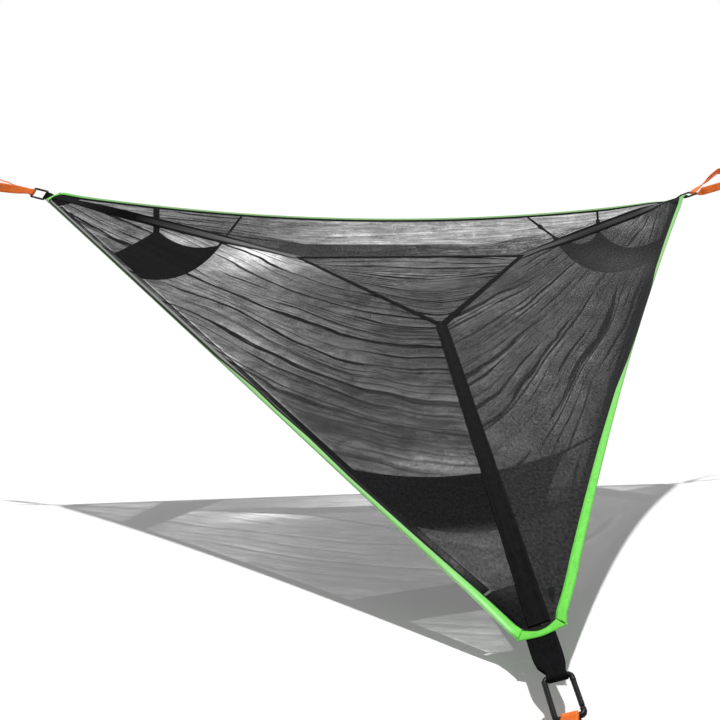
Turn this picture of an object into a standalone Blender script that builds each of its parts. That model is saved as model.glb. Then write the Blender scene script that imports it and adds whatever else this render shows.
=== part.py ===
"""Triangle hammock of netting, hung flat between three trunks.

Three net panels surround a triangular hatch. A wide webbing strap runs from each corner to a corner
of the hatch, three narrower webbings frame it, and a bound hem with a cord in it runs round the
outside. Each corner ends in a webbing loop, a carabiner and a sling for a trunk, and three cloth
pockets are slung under the corners.

Metres, +Z up. The origin is the centre of the triangle of corners, in the plane that they hang in.
The rear edge faces +Y and the front corner points to -Y.
"""

import math

import bmesh
import bpy
from mathutils import Matrix, Vector

# Driving dimensions of the hung triangle
SIDE = 2.800  # from corner to corner
CORNER_WIDTH = 0.080  # each corner is cut off this wide
EDGE_INSET = 0.030  # how far the middle of each edge is cut in
EDGE_SAG = {"rear": 0.094, "left": 0.038, "right": 0.100}
CORNER_ROLL = {"left": -6.0, "right": -30.0, "front": 26.0}  # degrees, as it hangs
FITTING_ROLL = {"left": -38.0, "right": -8.0, "front": 20.0}  # of the carabiners
STRAP_CANT = {"left": -45.0, "right": 45.0, "front": 4.0}  # the straps' lean at mid length
STRAP_AIM = (0.100, -0.010)  # the point that all three straps run towards
STRAP_REACH = {"left": 1.188, "right": 1.055, "front": 1.260}
HATCH_DEPTH = 0.070  # the hatch hangs this far under the corners

# Cloth, webbing and cord
NET_THICKNESS = 0.0006
STRAP_WIDTH = 0.038
STRAP_THICKNESS = 0.0016
HATCH_WEBBING_WIDTH = 0.016
HATCH_WEBBING_THICKNESS = 0.0012
TAPE_WIDTH = 0.025
TAPE_THICKNESS = 0.0012
PATCH_THICKNESS = 0.0004
FLAP_THICKNESS = 0.0006
FLAP_WIDTH = 0.160
POCKET_THICKNESS = 0.0008
TIE_THICKNESS = 0.0012
BINDING_WIDTH = 0.018
BINDING_WALL = 0.0008
HEM_CORD_RADIUS = 0.0025
GAP = 0.0004  # between one layer and the next
SEAM = 0.0010  # half the gap between two panels under a webbing
NET_BELLY = 0.012
FOLD_DEPTH = 0.006
FOLDS = 3

# Corner fittings
LOOP_REACH = {"left": 0.036, "right": 0.055, "front": 0.083}  # from the hem to the carabiner's bar
LOOP_TAIL = 0.070
LOOP_WIDTH_AT_BAR = 0.0310
ROD_RADIUS = 0.0045
CARABINER_REACH = 0.070  # between the middles of its two bars
CARABINER_HALF_WIDTH = 0.0210
CARABINER_BEND = 0.0065
GATE_RADIUS = 0.0042
GATE_NOSE = 0.0135
GATE_PIVOT = 0.0550
GATE_TAIL = 0.0032
PIN_RADIUS = 0.0010
PIN_CLEARANCE = 0.0003
TONGUE_THICKNESS = 0.0030
TONGUE_REACH = 0.0040
FORK_SLOT = 0.0036
FORK_DEPTH = 0.0060
SPRING_BORE = 0.0022
SPRING_RADIUS = 0.00125
SPRING_WIRE = 0.00025
SPRING_START = 0.0056
SPRING_LENGTH = 0.0150
SPRING_CURLS = 5

# Slings that go round the trunks
SLING_WIDTH = 0.030
SLING_WIDTH_AT_BAR = 0.026
SLING_THICKNESS = 0.0020
TRUNK_RADIUS = {"left": 0.075, "right": 0.075, "front": 0.090}
TRUNK_REACH = {"left": 0.360, "right": 0.360, "front": 0.260}  # from the outer bar to its middle
TRUNK_RISE = {"left": 0.014, "right": 0.035, "front": 0.0}  # the sling is this much higher there
TRUNK_BEARING = {"left": -1.4, "right": 1.8, "front": 0.0}  # degrees anticlockwise of the strap
LOWER_LEG_SIDE = {"left": -1.0, "right": -1.0, "front": 1.0}  # the trunk's side, +1 anticlockwise
SLING_STEPS = 8

# Pockets: the distances from the corner along the tied edge and the sewn edge
POCKET_TIED_EDGE = {"left": "rear", "right": "rear", "front": "right"}
POCKET_SEWN_EDGE = {"left": "left", "right": "right", "front": "left"}
POCKET_TIED_AT = {"left": (0.420, 0.785), "right": (0.365, 0.690), "front": (0.400, 0.700)}
POCKET_SEWN_AT = {"left": (0.700, 0.910), "right": (0.480, 0.700), "front": (0.360, 0.550)}
POCKET_SAG = {  # at the near side, in the middle and at the far side
    "left": (0.005, 0.030, 0.060),
    "right": (0.065, 0.070, 0.110),
    "front": (0.040, 0.060, 0.050),
}
POCKET_RIM_DIP = {"left": 0.022, "right": 0.035, "front": 0.030}  # of the tied rim, between its ties
POCKET_RIM_DRAW = {"left": 0.030, "right": 0.050, "front": 0.020}  # it is drawn in this much
TIE_WIDTH = {"left": (0.027, 0.010), "right": (0.010, 0.010), "front": (0.020, 0.016)}
TIE_DROP = {"left": (0.088, 0.125), "right": (0.074, 0.074), "front": (0.045, 0.060)}
TIE_INWARD = {"left": (0.050, 0.050), "right": (0.050, 0.050), "front": (0.045, 0.060)}
TIE_SLANT = {"left": (0.0, -0.100), "right": (0.0, -0.105), "front": (0.0, -0.010)}  # to the corner
ADJUSTER_LENGTH = 0.022
ADJUSTER_WIDTH = 0.018
ADJUSTER_THICKNESS = 0.006

# Steps along the faceted cloth
STRAP_STEPS = 11  # the first is short and lies flat in the corner's plane
HATCH_STEPS = 6
NET_ROWS = 12
ROLL_BLEND = (1.0, 1.0, 0.7, 0.3)  # how much of a corner's roll its edges keep, station by station
POCKET_STEPS = 10
HATCH_DIVISIONS = 9
FIRST_STRAP_STEP = 0.024
FIRST_EDGE_STEP = 0.028

UP = Vector((0.0, 0.0, 1.0))
CORNER_ANGLE = {"right": 30.0, "left": 150.0, "front": 270.0}
EDGES = {"rear": ("right", "left"), "left": ("left", "front"), "right": ("front", "right")}
STATIONS = 2 * STRAP_STEPS + HATCH_STEPS

# Heights of the layers, measured from the middle of the net
STRAP_HEIGHT = NET_THICKNESS / 2 + 2 * GAP + STRAP_THICKNESS / 2
HATCH_WEBBING_HEIGHT = NET_THICKNESS / 2 + GAP + HATCH_WEBBING_THICKNESS / 2
FLAP_HEIGHT = NET_THICKNESS / 2 + 3 * GAP + FLAP_THICKNESS / 2
TAPE_HEIGHT = -(NET_THICKNESS / 2 + GAP + TAPE_THICKNESS / 2)
PATCH_HEIGHT = -(NET_THICKNESS / 2 + GAP + PATCH_THICKNESS / 2)
LIP_TOP = NET_THICKNESS / 2 + GAP + BINDING_WALL / 2
LIP_UNDER_NET = -LIP_TOP
LIP_UNDER_TAPE = TAPE_HEIGHT - TAPE_THICKNESS / 2 - GAP - BINDING_WALL / 2
TAIL_HEIGHT = LIP_UNDER_NET - BINDING_WALL / 2 - GAP - STRAP_THICKNESS / 2
SECOND_TAIL_HEIGHT = TAIL_HEIGHT - STRAP_THICKNESS - GAP
BAR_HEIGHT = (TAIL_HEIGHT + SECOND_TAIL_HEIGHT) / 2

# Distances in from the outside of the hem
BEAD_RADIUS = HEM_CORD_RADIUS + GAP + 1.5 * BINDING_WALL
BEAD_INSET = BEAD_RADIUS + BINDING_WALL / 2
NET_TUCK = BEAD_INSET + HEM_CORD_RADIUS + 2 * GAP
TAPE_START = NET_TUCK + GAP
TAPE_END = TAPE_START + TAPE_WIDTH
LIP_ROW = BINDING_WIDTH + 2 * GAP
TAPE_ROW = TAPE_END
STRAP_ROW = STRAP_WIDTH / 2 + 0.0005
HATCH_ROW = HATCH_WEBBING_WIDTH / 2 + 0.0005

COLLECTION = "triangle_hammock"
CUTTERS = "cutters"


# Scene helpers


def clear_scene():
    for thing in list(bpy.data.objects):
        bpy.data.objects.remove(thing, do_unlink=True)


def collection(name):
    found = bpy.data.collections.get(name)
    if found is None:
        found = bpy.data.collections.new(name)
        bpy.context.scene.collection.children.link(found)
    return found


def material(name, color, roughness, metallic=0.0):
    found = bpy.data.materials.get(name)
    if found is None:
        found = bpy.data.materials.new(name)
        found.use_nodes = True
        shader = found.node_tree.nodes["Principled BSDF"]
        shader.inputs["Base Color"].default_value = (*color, 1.0)
        shader.inputs["Roughness"].default_value = roughness
        shader.inputs["Metallic"].default_value = metallic
        found.diffuse_color = (*color, 1.0)
    return found


def net_material():
    return material("net_cloth", (0.035, 0.035, 0.038), 0.85)


def webbing_material():
    return material("black_webbing", (0.012, 0.012, 0.013), 0.70)


def binding_material():
    return material("lime_binding", (0.16, 0.72, 0.09), 0.60)


def cloth_material():
    return material("pocket_cloth", (0.016, 0.016, 0.018), 0.60)


def metal_material():
    return material("black_anodised", (0.020, 0.020, 0.022), 0.35, 0.6)


def steel_material():
    return material("spring_steel", (0.45, 0.45, 0.46), 0.30, 1.0)


def sling_material():
    return material("orange_webbing", (0.90, 0.22, 0.04), 0.65)


def plastic_material():
    return material("black_plastic", (0.018, 0.018, 0.020), 0.40)


def finish(mesh, name, paint, angle=40.0):
    mesh.materials.append(paint)
    mesh.shade_smooth()
    mesh.set_sharp_from_angle(angle=math.radians(angle))
    thing = bpy.data.objects.new(name, mesh)
    collection(COLLECTION).objects.link(thing)
    return thing


def sheet(name, grid, thickness, paint, crossed=None):
    """A cloth of triangles on a grid of points, given its thickness by Solidify.

    Each cell is cut from its first corner to its last, or the other way in a crossed column.
    """
    across = len(grid[0])
    bm = bmesh.new()
    made = [[bm.verts.new(point) for point in row] for row in grid]
    for i in range(len(grid) - 1):
        for j in range(across - 1):
            a, b = made[i][j], made[i + 1][j]
            c, d = made[i + 1][j + 1], made[i][j + 1]
            if crossed is not None and crossed(j):
                bm.faces.new((a, b, d))
                bm.faces.new((b, c, d))
            else:
                bm.faces.new((a, b, c))
                bm.faces.new((a, c, d))
    mesh = bpy.data.meshes.new(name)
    bm.to_mesh(mesh)
    bm.free()
    thing = finish(mesh, name, paint)
    solidify(thing, thickness)
    return thing


def solidify(thing, thickness):
    modifier = thing.modifiers.new("thickness", "SOLIDIFY")
    modifier.thickness = thickness
    modifier.offset = 0.0
    modifier.use_even_offset = False
    modifier.use_rim = True


def ribbon(name, line, thickness, paint, closed=False):
    """A strip with square corners along (middle, half width) pairs.

    The half width is a vector from the middle to one side. A closed strip ends where it starts.
    Its two broad faces are cut along the same diagonals, so that a twist keeps its thickness.
    """
    bm = bmesh.new()
    rings = []
    count = len(line)
    for i, (middle, half) in enumerate(line):
        before = line[i - 1][0] if closed or i > 0 else middle
        after = line[(i + 1) % count][0] if closed or i < count - 1 else middle
        lift = half.cross(after - before).normalized() * thickness / 2
        corners = (middle - half - lift, middle + half - lift)
        corners += (middle + half + lift, middle - half + lift)
        rings.append([bm.verts.new(point) for point in corners])
    pairs = list(zip(rings, rings[1:]))
    if closed:
        pairs.append((rings[-1], rings[0]))
    for first, second in pairs:
        for k in range(4):
            nxt = (k + 1) % 4
            if k == 2:
                bm.faces.new((first[k], second[k], first[nxt]))
                bm.faces.new((second[k], second[nxt], first[nxt]))
            else:
                bm.faces.new((first[k], second[k], second[nxt]))
                bm.faces.new((first[k], second[nxt], first[nxt]))
    if not closed:
        bm.faces.new(rings[0])
        bm.faces.new(list(reversed(rings[-1])))
    mesh = bpy.data.meshes.new(name)
    bm.to_mesh(mesh)
    bm.free()
    return finish(mesh, name, paint)


def tube(name, points, radius, resolution, paint):
    """A round rod along points, as a mesh whose caps are welded."""
    curve = bpy.data.curves.new(name + "_line", "CURVE")
    curve.dimensions = "3D"
    curve.bevel_depth = radius
    curve.bevel_resolution = resolution
    curve.use_fill_caps = True
    line = curve.splines.new("POLY")
    line.points.add(len(points) - 1)
    for spot, point in zip(line.points, points):
        spot.co = (*point, 1.0)
    guide = bpy.data.objects.new(name + "_line", curve)
    collection(COLLECTION).objects.link(guide)
    seen = guide.evaluated_get(bpy.context.evaluated_depsgraph_get())
    mesh = bpy.data.meshes.new_from_object(seen)
    bpy.data.objects.remove(guide, do_unlink=True)
    bm = bmesh.new()
    bm.from_mesh(mesh)
    bmesh.ops.remove_doubles(bm, verts=bm.verts[:], dist=radius * 0.01)
    bmesh.ops.recalc_face_normals(bm, faces=bm.faces[:])
    bm.to_mesh(mesh)
    bm.free()
    mesh.name = name
    mesh.materials.clear()
    return finish(mesh, name, paint)


def cutter(name, mesh_maker, place):
    bm = bmesh.new()
    mesh_maker(bm)
    mesh = bpy.data.meshes.new(name)
    bm.to_mesh(mesh)
    bm.free()
    thing = bpy.data.objects.new(name, mesh)
    thing.matrix_world = place
    thing.hide_render = True
    thing.display_type = "WIRE"
    collection(CUTTERS).objects.link(thing)
    return thing


def cut(thing, tool):
    modifier = thing.modifiers.new(tool.name, "BOOLEAN")
    modifier.operation = "DIFFERENCE"
    modifier.solver = "EXACT"
    modifier.object = tool


def box_maker(size):
    def make(bm):
        bmesh.ops.create_cube(bm, size=1.0, matrix=Matrix.Diagonal((*size, 1.0)))

    return make


def drum_maker(radius, length, sides=12):
    def make(bm):
        bmesh.ops.create_cone(
            bm, cap_ends=True, segments=sides, radius1=radius, radius2=radius, depth=length
        )

    return make


# Plan geometry


def smooth(t):
    t = max(0.0, min(1.0, t))
    return t * t * (3.0 - 2.0 * t)


def flat(v):
    return Vector((v.x, v.y, 0.0))


def meet(p, d, q, e):
    """Where two lines of the plan cross: one through p along d, one through q along e."""
    k = ((q.x - p.x) * e.y - (q.y - p.y) * e.x) / (d.x * e.y - d.y * e.x)
    return p + d * k


def corner_place(corner):
    angle = math.radians(CORNER_ANGLE[corner])
    reach = SIDE / math.sqrt(3.0)
    return Vector((reach * math.cos(angle), reach * math.sin(angle), 0.0))


def strap_direction(corner):
    """The plan direction from the straps' common point out to a corner."""
    return (corner_place(corner) - Vector((*STRAP_AIM, 0.0))).normalized()


def junction(corner):
    """The hatch's corner that this strap reaches."""
    place = corner_place(corner) - strap_direction(corner) * STRAP_REACH[corner]
    place.z = -HATCH_DEPTH
    return place


def corner_axes(corner, roll=None):
    """Outwards along the strap, sideways and up, at the corner."""
    outward = (corner_place(corner) - junction(corner)).normalized()
    level = UP.cross(strap_direction(corner))
    roll = math.radians(CORNER_ROLL[corner] if roll is None else roll)
    lift = outward.cross(level)
    sideways = level * math.cos(roll) + lift * math.sin(roll)
    return outward, sideways, outward.cross(sideways)


def strap_cant(corner, t):
    """The strap's lean at t, 0 at the corner and 1 at the hatch. It is steady at both ends."""
    roll, lean = CORNER_ROLL[corner], STRAP_CANT[corner]
    steady = 1.0 / (STRAP_STEPS - 1)
    rise = roll + (lean - roll) * smooth((t - steady) / (2.0 * steady))
    return math.radians(rise * (1.0 - smooth((t - 0.65) / (0.35 - steady))))


def strap_frame(corner, step):
    """The middle of the strap at a step, its sideways direction and its upward one."""
    outward = corner_axes(corner)[0]
    if step < 2:
        t = 0.0
        middle = corner_place(corner) - outward * (NET_TUCK, FIRST_STRAP_STEP)[step]
    else:
        t = (step - 1) / (STRAP_STEPS - 1)
        middle = corner_place(corner).lerp(junction(corner), t)
    cant = strap_cant(corner, t)
    level = UP.cross(strap_direction(corner))
    lift = outward.cross(level)
    sideways = level * math.cos(cant) + lift * math.sin(cant)
    return middle, sideways, outward.cross(sideways)


def edge_stations(edge):
    """The outside of the hem, from corner to corner."""
    a, b = EDGES[edge]
    start = corner_place(a) + corner_axes(a)[1] * CORNER_WIDTH / 2
    end = corner_place(b) - corner_axes(b)[1] * CORNER_WIDTH / 2
    inward = -flat(corner_place(a) + corner_place(b)).normalized()
    line = []
    for i in range(STATIONS - 1):
        u = i / (STATIONS - 2)
        bow = 4.0 * u * (1.0 - u)
        line.append(start.lerp(end, u) + inward * EDGE_INSET * bow - UP * EDGE_SAG[edge] * bow)
    second = flat_step(a, line[0], line[1])
    last = flat_step(b, line[-1], line[-2])
    return [line[0], second, *line[1:-1], last, line[-1]]


def flat_step(corner, start, towards):
    """A short step from a corner of the cut, along the edge but in the corner's own plane."""
    up = corner_axes(corner)[2]
    run = towards - start
    return start + (run - up * run.dot(up)).normalized() * FIRST_EDGE_STEP


def edge_frame(edge, i):
    """The hem's outside at a station, with its inward and upward directions."""
    line = edge_stations(edge)
    before, after = line[max(i - 1, 0)], line[min(i + 1, STATIONS)]
    if i == 1:
        after = line[1]
    if i == STATIONS - 1:
        before = line[i]
    along = (after - before).normalized()
    up = UP
    for corner, steps in ((EDGES[edge][0], i), (EDGES[edge][1], STATIONS - i)):
        if steps < len(ROLL_BLEND):
            up = UP.lerp(corner_axes(corner)[2], ROLL_BLEND[steps])
    inward = up.cross(along).normalized()
    return line[i], inward, along.cross(inward)


def corner_slant(edge, at_start):
    """At a cut corner: what to add for each metre in from the hem, and in from the cut.

    Both lie in the corner's own plane.
    """
    a, b = EDGES[edge]
    corner = a if at_start else b
    outward, sideways, _ = corner_axes(corner)
    line = edge_stations(edge)
    run = line[1] - line[0] if at_start else line[-2] - line[-1]
    side = 1.0 if at_start else -1.0
    back, out = -run.dot(outward), run.dot(sideways) * side
    length = math.hypot(back, out)
    back, out = back / length, out / length
    from_hem = sideways * (-side / back)
    from_cut = -outward + sideways * (side * out / back)
    return from_hem, from_cut


def edge_point(edge, i, inset, height=0.0, from_cut=NET_TUCK):
    """A point this far in from the hem and this high above the net, at a station."""
    if 0 < i < STATIONS:
        place, inward, up = edge_frame(edge, i)
        return place + inward * inset + up * height
    corner = EDGES[edge][0] if i == 0 else EDGES[edge][1]
    place = edge_stations(edge)[i]
    by_hem, by_cut = corner_slant(edge, i == 0)
    return place + by_hem * inset + by_cut * from_cut + corner_axes(corner)[2] * height


def inner_frame(edge, i):
    """The line that the panel is sewn to: (middle, towards the panel, up, half webbing, step)."""
    a, b = EDGES[edge]
    if i < STRAP_STEPS:
        middle, sideways, up = strap_frame(a, i)
        return middle, sideways, up, STRAP_ROW
    if i > STATIONS - STRAP_STEPS:
        middle, sideways, up = strap_frame(b, STATIONS - i)
        return middle, -sideways, up, STRAP_ROW
    start, end = junction(a), junction(b)
    middle = start.lerp(end, (i - STRAP_STEPS) / HATCH_STEPS)
    return middle, (end - start).normalized().cross(UP), UP, HATCH_ROW


def outer_mitre(corner, offset):
    """Where lines this far outside the two hatch sides cross, at a hatch corner."""
    here = junction(corner)
    names = list(CORNER_ANGLE)
    k = names.index(corner)
    after, before = junction(names[(k + 1) % 3]), junction(names[(k - 1) % 3])
    onward, back = (after - here).normalized(), (here - before).normalized()
    return meet(
        here + onward.cross(UP) * offset, onward, here + back.cross(UP) * offset, back
    )


def strap_rise(corner, place):
    """How far the strap rises between the hatch's corner and a place further up it."""
    past = (place - junction(corner)).dot(strap_direction(corner))
    return max(0.0, past) * HATCH_DEPTH / STRAP_REACH[corner]


def net_corner_row(corner, side):
    """The panel's row beside the strap, where the strap meets the hatch."""
    here = junction(corner)
    out = strap_direction(corner)
    sideways = UP.cross(out)
    names = list(CORNER_ANGLE)
    k = names.index(corner)
    other = junction(names[(k + 1) % 3]) if side > 0 else junction(names[(k - 1) % 3])
    onward = (other - here).normalized()
    outside = onward.cross(UP) if side > 0 else UP.cross(onward)
    return meet(here + sideways * side * STRAP_ROW, out, here + outside * HATCH_ROW, onward)


def net_rows(edge, i):
    """One line of the net across its panel, from the hem to the seam under the webbing."""
    middle, towards, _, half = inner_frame(edge, i)
    seam = middle + towards * SEAM
    beside = middle + towards * half
    if i == STRAP_STEPS:
        beside = net_corner_row(EDGES[edge][0], 1.0)
        seam = middle.lerp(beside, SEAM / HATCH_ROW)
    if i == STATIONS - STRAP_STEPS:
        beside = net_corner_row(EDGES[edge][1], -1.0)
        seam = middle.lerp(beside, SEAM / HATCH_ROW)
    tucked = edge_point(edge, i, NET_TUCK)
    lip = edge_point(edge, i, LIP_ROW)
    if 1 < i < STATIONS - 1:
        taped = edge_point(edge, i, TAPE_ROW)
    else:
        taped = lip.lerp(beside, 0.5)
    rows = [tucked, lip, taped]
    inner = NET_ROWS - 3
    u = max(0.0, min(1.0, (i - 1) / (STATIONS - 2)))
    for j in range(1, inner):
        v = j / inner
        rows.append(taped.lerp(beside, v) - UP * net_dip(edge, u, v))
    return rows + [beside, seam]


def net_dip(edge, u, v):
    """How far the slack net hangs under a straight line across its panel."""
    reach = 0.62 if edge == "rear" else 1.0
    if v >= reach:
        return 0.0
    v = v / reach
    spread = math.sin(math.pi * u) ** 2
    belly = NET_BELLY * math.sin(math.pi * v)
    folds = FOLD_DEPTH * math.sin(math.pi * v) * math.sin(2.0 * math.pi * FOLDS * v)
    return spread * (belly + folds)


# The cloth pieces


def make_net_panel(edge):
    grid = [net_rows(edge, i) for i in range(STATIONS + 1)]
    sheet(edge + "_net_panel", grid, NET_THICKNESS, net_material())


def make_hatch_panel():
    """The net in the hatch, on a triangular grid that dips towards its middle."""
    names = list(CORNER_ANGLE)
    centre = sum((junction(name) for name in names), Vector()) / 3.0
    points = []
    for name in names:
        inset = outer_mitre(name, -SEAM)
        points.append(inset)
    n = HATCH_DIVISIONS
    bm = bmesh.new()
    made = {}
    for a in range(n + 1):
        for b in range(n + 1 - a):
            c = n - a - b
            place = (points[0] * a + points[1] * b + points[2] * c) / n
            place.z = centre.z - hatch_dip(a / n, b / n, c / n)
            made[a, b] = bm.verts.new(place)
    for a in range(n):
        for b in range(n - a):
            bm.faces.new((made[a, b], made[a + 1, b], made[a, b + 1]))
            if a + b < n - 1:
                bm.faces.new((made[a + 1, b], made[a + 1, b + 1], made[a, b + 1]))
    mesh = bpy.data.meshes.new("hatch_net_panel")
    bmesh.ops.recalc_face_normals(bm, faces=bm.faces[:])
    bm.to_mesh(mesh)
    bm.free()
    solidify(finish(mesh, "hatch_net_panel", net_material()), NET_THICKNESS)


def hatch_dip(a, b, c):
    """The hatch net's hang: a belly, with folds that run from the rear side to the front corner."""
    nearness = min(a, b, c) * 3.0
    belly = 1.6 * NET_BELLY * nearness
    folds = FOLD_DEPTH * nearness * math.sin(2.0 * math.pi * FOLDS * c)
    return belly + 0.5 * folds


def make_hatch_flap():
    """The plain cloth strip on the rear panel, widest along the hatch."""
    reach = STRAP_STEPS // 2
    first, last = STRAP_STEPS - reach, STATIONS - STRAP_STEPS + reach
    grid = []
    for i in range(first, last + 1):
        rows = net_rows("rear", i)
        taped, beside = rows[2], rows[-2]
        out = (taped - beside).normalized()
        past = max(0, STRAP_STEPS - i, i - (STATIONS - STRAP_STEPS))
        width = FLAP_WIDTH * (1.0 - 0.92 * smooth(past / reach))
        start = 0.0015
        grid.append(
            [beside + out * (start + width * k / 3.0) + UP * FLAP_HEIGHT for k in range(4)]
        )
    sheet("hatch_flap", grid, FLAP_THICKNESS, cloth_material())


def strap_start(corner, side, height):
    """The strap's first line across: just inside the binding of the cut corner."""
    first, second = strap_frame(corner, 0), strap_frame(corner, 1)
    run = FIRST_STRAP_STEP - NET_TUCK
    share = (BINDING_WIDTH + GAP - NET_TUCK) / run
    ends = [f[0] + f[1] * side * STRAP_WIDTH / 2 + f[2] * height for f in (first, second)]
    return ends[0].lerp(ends[1], share)


def make_corner_strap(corner):
    """The wide webbing from the corner to the hatch, with a notched end for the hatch webbings."""
    grid = [[strap_start(corner, side, STRAP_HEIGHT) for side in (-1.0, 0.0, 1.0)]]
    for step in range(1, STRAP_STEPS):
        middle, sideways, up = strap_frame(corner, step)
        half = sideways * STRAP_WIDTH / 2
        grid.append([middle + half * side + up * STRAP_HEIGHT for side in (-1.0, 0.0, 1.0)])
    here, out = junction(corner), strap_direction(corner)
    sideways = UP.cross(out)
    names = list(CORNER_ANGLE)
    k = names.index(corner)
    ends = []
    for side in (-1.0, 1.0):
        other = junction(names[(k + 1) % 3]) if side > 0 else junction(names[(k - 1) % 3])
        onward = (other - here).normalized()
        outside = onward.cross(UP) if side > 0 else UP.cross(onward)
        line = here + outside * (HATCH_WEBBING_WIDTH / 2 + GAP)
        ends.append(meet(here + sideways * side * STRAP_WIDTH / 2, out, line, onward))
    tip = outer_mitre(corner, HATCH_WEBBING_WIDTH / 2 + GAP)
    tip.z += strap_rise(corner, tip)
    grid.append([ends[0] + UP * STRAP_HEIGHT, tip + UP * STRAP_HEIGHT, ends[1] + UP * STRAP_HEIGHT])
    name = corner + "_corner_strap"
    sheet(name, grid, STRAP_THICKNESS, webbing_material(), crossed=lambda j: True)


def make_hatch_webbing(first, second, name):
    """A straight webbing along one side of the hatch, mitred at both ends."""
    start, end = junction(first), junction(second)
    along = (end - start).normalized()
    half = HATCH_WEBBING_WIDTH / 2
    bm = bmesh.new()
    lower, upper = [], []
    for corner, offset, pull in (
        (first, half, 1.0),
        (second, half, -1.0),
        (second, -half, -1.0),
        (first, -half, 1.0),
    ):
        place = outer_mitre(corner, offset) + along * pull * GAP
        place.z += strap_rise(corner, place)
        base = HATCH_WEBBING_HEIGHT - HATCH_WEBBING_THICKNESS / 2
        lower.append(bm.verts.new(place + UP * base))
        upper.append(bm.verts.new(place + UP * (base + HATCH_WEBBING_THICKNESS)))
    for k in range(4):
        nxt = (k + 1) % 4
        bm.faces.new((lower[k], lower[nxt], upper[nxt], upper[k]))
    bm.faces.new(lower)
    bm.faces.new(upper)
    bmesh.ops.triangulate(bm, faces=bm.faces[:])
    bmesh.ops.recalc_face_normals(bm, faces=bm.faces[:])
    mesh = bpy.data.meshes.new(name)
    bm.to_mesh(mesh)
    bm.free()
    finish(mesh, name, webbing_material())


def make_edge_tape(edge):
    """The black webbing under the net along an edge, from just inside one corner to the other."""
    grid = []
    for i in range(2, STATIONS - 1):
        grid.append([edge_point(edge, i, x, TAPE_HEIGHT) for x in (TAPE_START, LIP_ROW, TAPE_END)])
    sheet(edge + "_edge_webbing", grid, TAPE_THICKNESS, webbing_material())


def hem_section(under):
    """The binding's middle line, from its top lip round the bead to its lower lip."""
    points = [(BINDING_WIDTH, LIP_TOP)]
    for degrees in (60.0, 120.0, 180.0, 240.0, 300.0):
        angle = math.radians(degrees)
        x = BEAD_INSET + BEAD_RADIUS * math.cos(angle)
        points.append((x, BEAD_RADIUS * math.sin(angle)))
    points.append((BINDING_WIDTH, under))
    return points


def make_edge_binding(edge):
    """The lime binding folded round the edge, its cord and its webbing."""
    section = hem_section(LIP_UNDER_TAPE)
    grid = []
    for i in range(STATIONS + 1):
        grid.append([edge_point(edge, i, x, h, x + GAP) for x, h in section])
    middle = len(section) // 2
    sheet(
        edge + "_edge_binding",
        grid,
        BINDING_WALL,
        binding_material(),
        crossed=lambda j: j < middle,
    )


def make_hem_cord(edge):
    """The cord inside the binding, which carries the edge."""
    points = []
    for i in range(STATIONS + 1):
        points.append(edge_point(edge, i, BEAD_INSET, 0.0, 2.0 * BEAD_INSET))
    tube(edge + "_hem_cord", points, HEM_CORD_RADIUS, 2, webbing_material())


def neighbours(corner):
    """The edges that start and end at a corner."""
    starting = next(edge for edge, ends in EDGES.items() if ends[0] == corner)
    ending = next(edge for edge, ends in EDGES.items() if ends[1] == corner)
    return starting, ending


def make_corner_binding(corner):
    """The binding folded over the cut end of the corner."""
    starting, ending = neighbours(corner)
    fold = BINDING_WALL / 2
    section = [
        (BINDING_WIDTH, LIP_TOP),
        (fold + LIP_TOP, LIP_TOP),
        (fold, 0.0),
        (fold + LIP_TOP, LIP_UNDER_NET),
        (BINDING_WIDTH, LIP_UNDER_NET),
    ]
    grid = []
    for edge, at_start, i in ((ending, False, STATIONS), (starting, True, 0)):
        by_hem, by_cut = corner_slant(edge, at_start)
        place = edge_stations(edge)[i]
        up = corner_axes(corner)[2]
        sideways = corner_axes(corner)[1] * (-1.0 if at_start else 1.0)
        row = []
        for x, h in section:
            mitre = by_hem * x + by_cut * x
            row.append(place + mitre + sideways * GAP / 2 + up * h)
        grid.append(row)
    steps = 3
    full = [[a.lerp(b, k / steps) for a, b in zip(*grid)] for k in range(steps + 1)]
    name = corner + "_corner_binding"
    sheet(name, full, BINDING_WALL, binding_material())


def make_corner_patch(corner):
    """The doubled cloth under the net at a corner, laid along the net's own lines."""
    starting, ending = neighbours(corner)
    normal = corner_axes(corner)[2]
    rows = []
    for step, share in ((0, "near"), (1, 0.0), (1, 0.94)):
        line = []
        for edge, onward in ((ending, -1), (starting, 1)):
            first = STATIONS - step if onward < 0 else step
            cells = list(zip(net_rows(edge, first)[1:], net_rows(edge, first + onward)[1:]))
            cells[0] = tuple(a.lerp(b, 0.02) for a, b in zip(cells[0], cells[1]))
            for a, b in cells if onward < 0 else reversed(cells):
                near = (BINDING_WIDTH + GAP - NET_TUCK) / (FIRST_STRAP_STEP - NET_TUCK)
                line.append(a.lerp(b, near if share == "near" else share) + normal * PATCH_HEIGHT)
        rows.append(line)
    name = corner + "_corner_patch"
    sheet(name, rows, PATCH_THICKNESS, cloth_material(), crossed=lambda j: True)


# The corner fittings


def fitting_axes(corner):
    """The middle of the bar inside the webbing loop, and the carabiner's axes."""
    outward, _, level = corner_axes(corner)
    place = corner_place(corner) + outward * LOOP_REACH[corner] + level * BAR_HEIGHT
    return (place, *corner_axes(corner, FITTING_ROLL[corner]))


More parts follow.
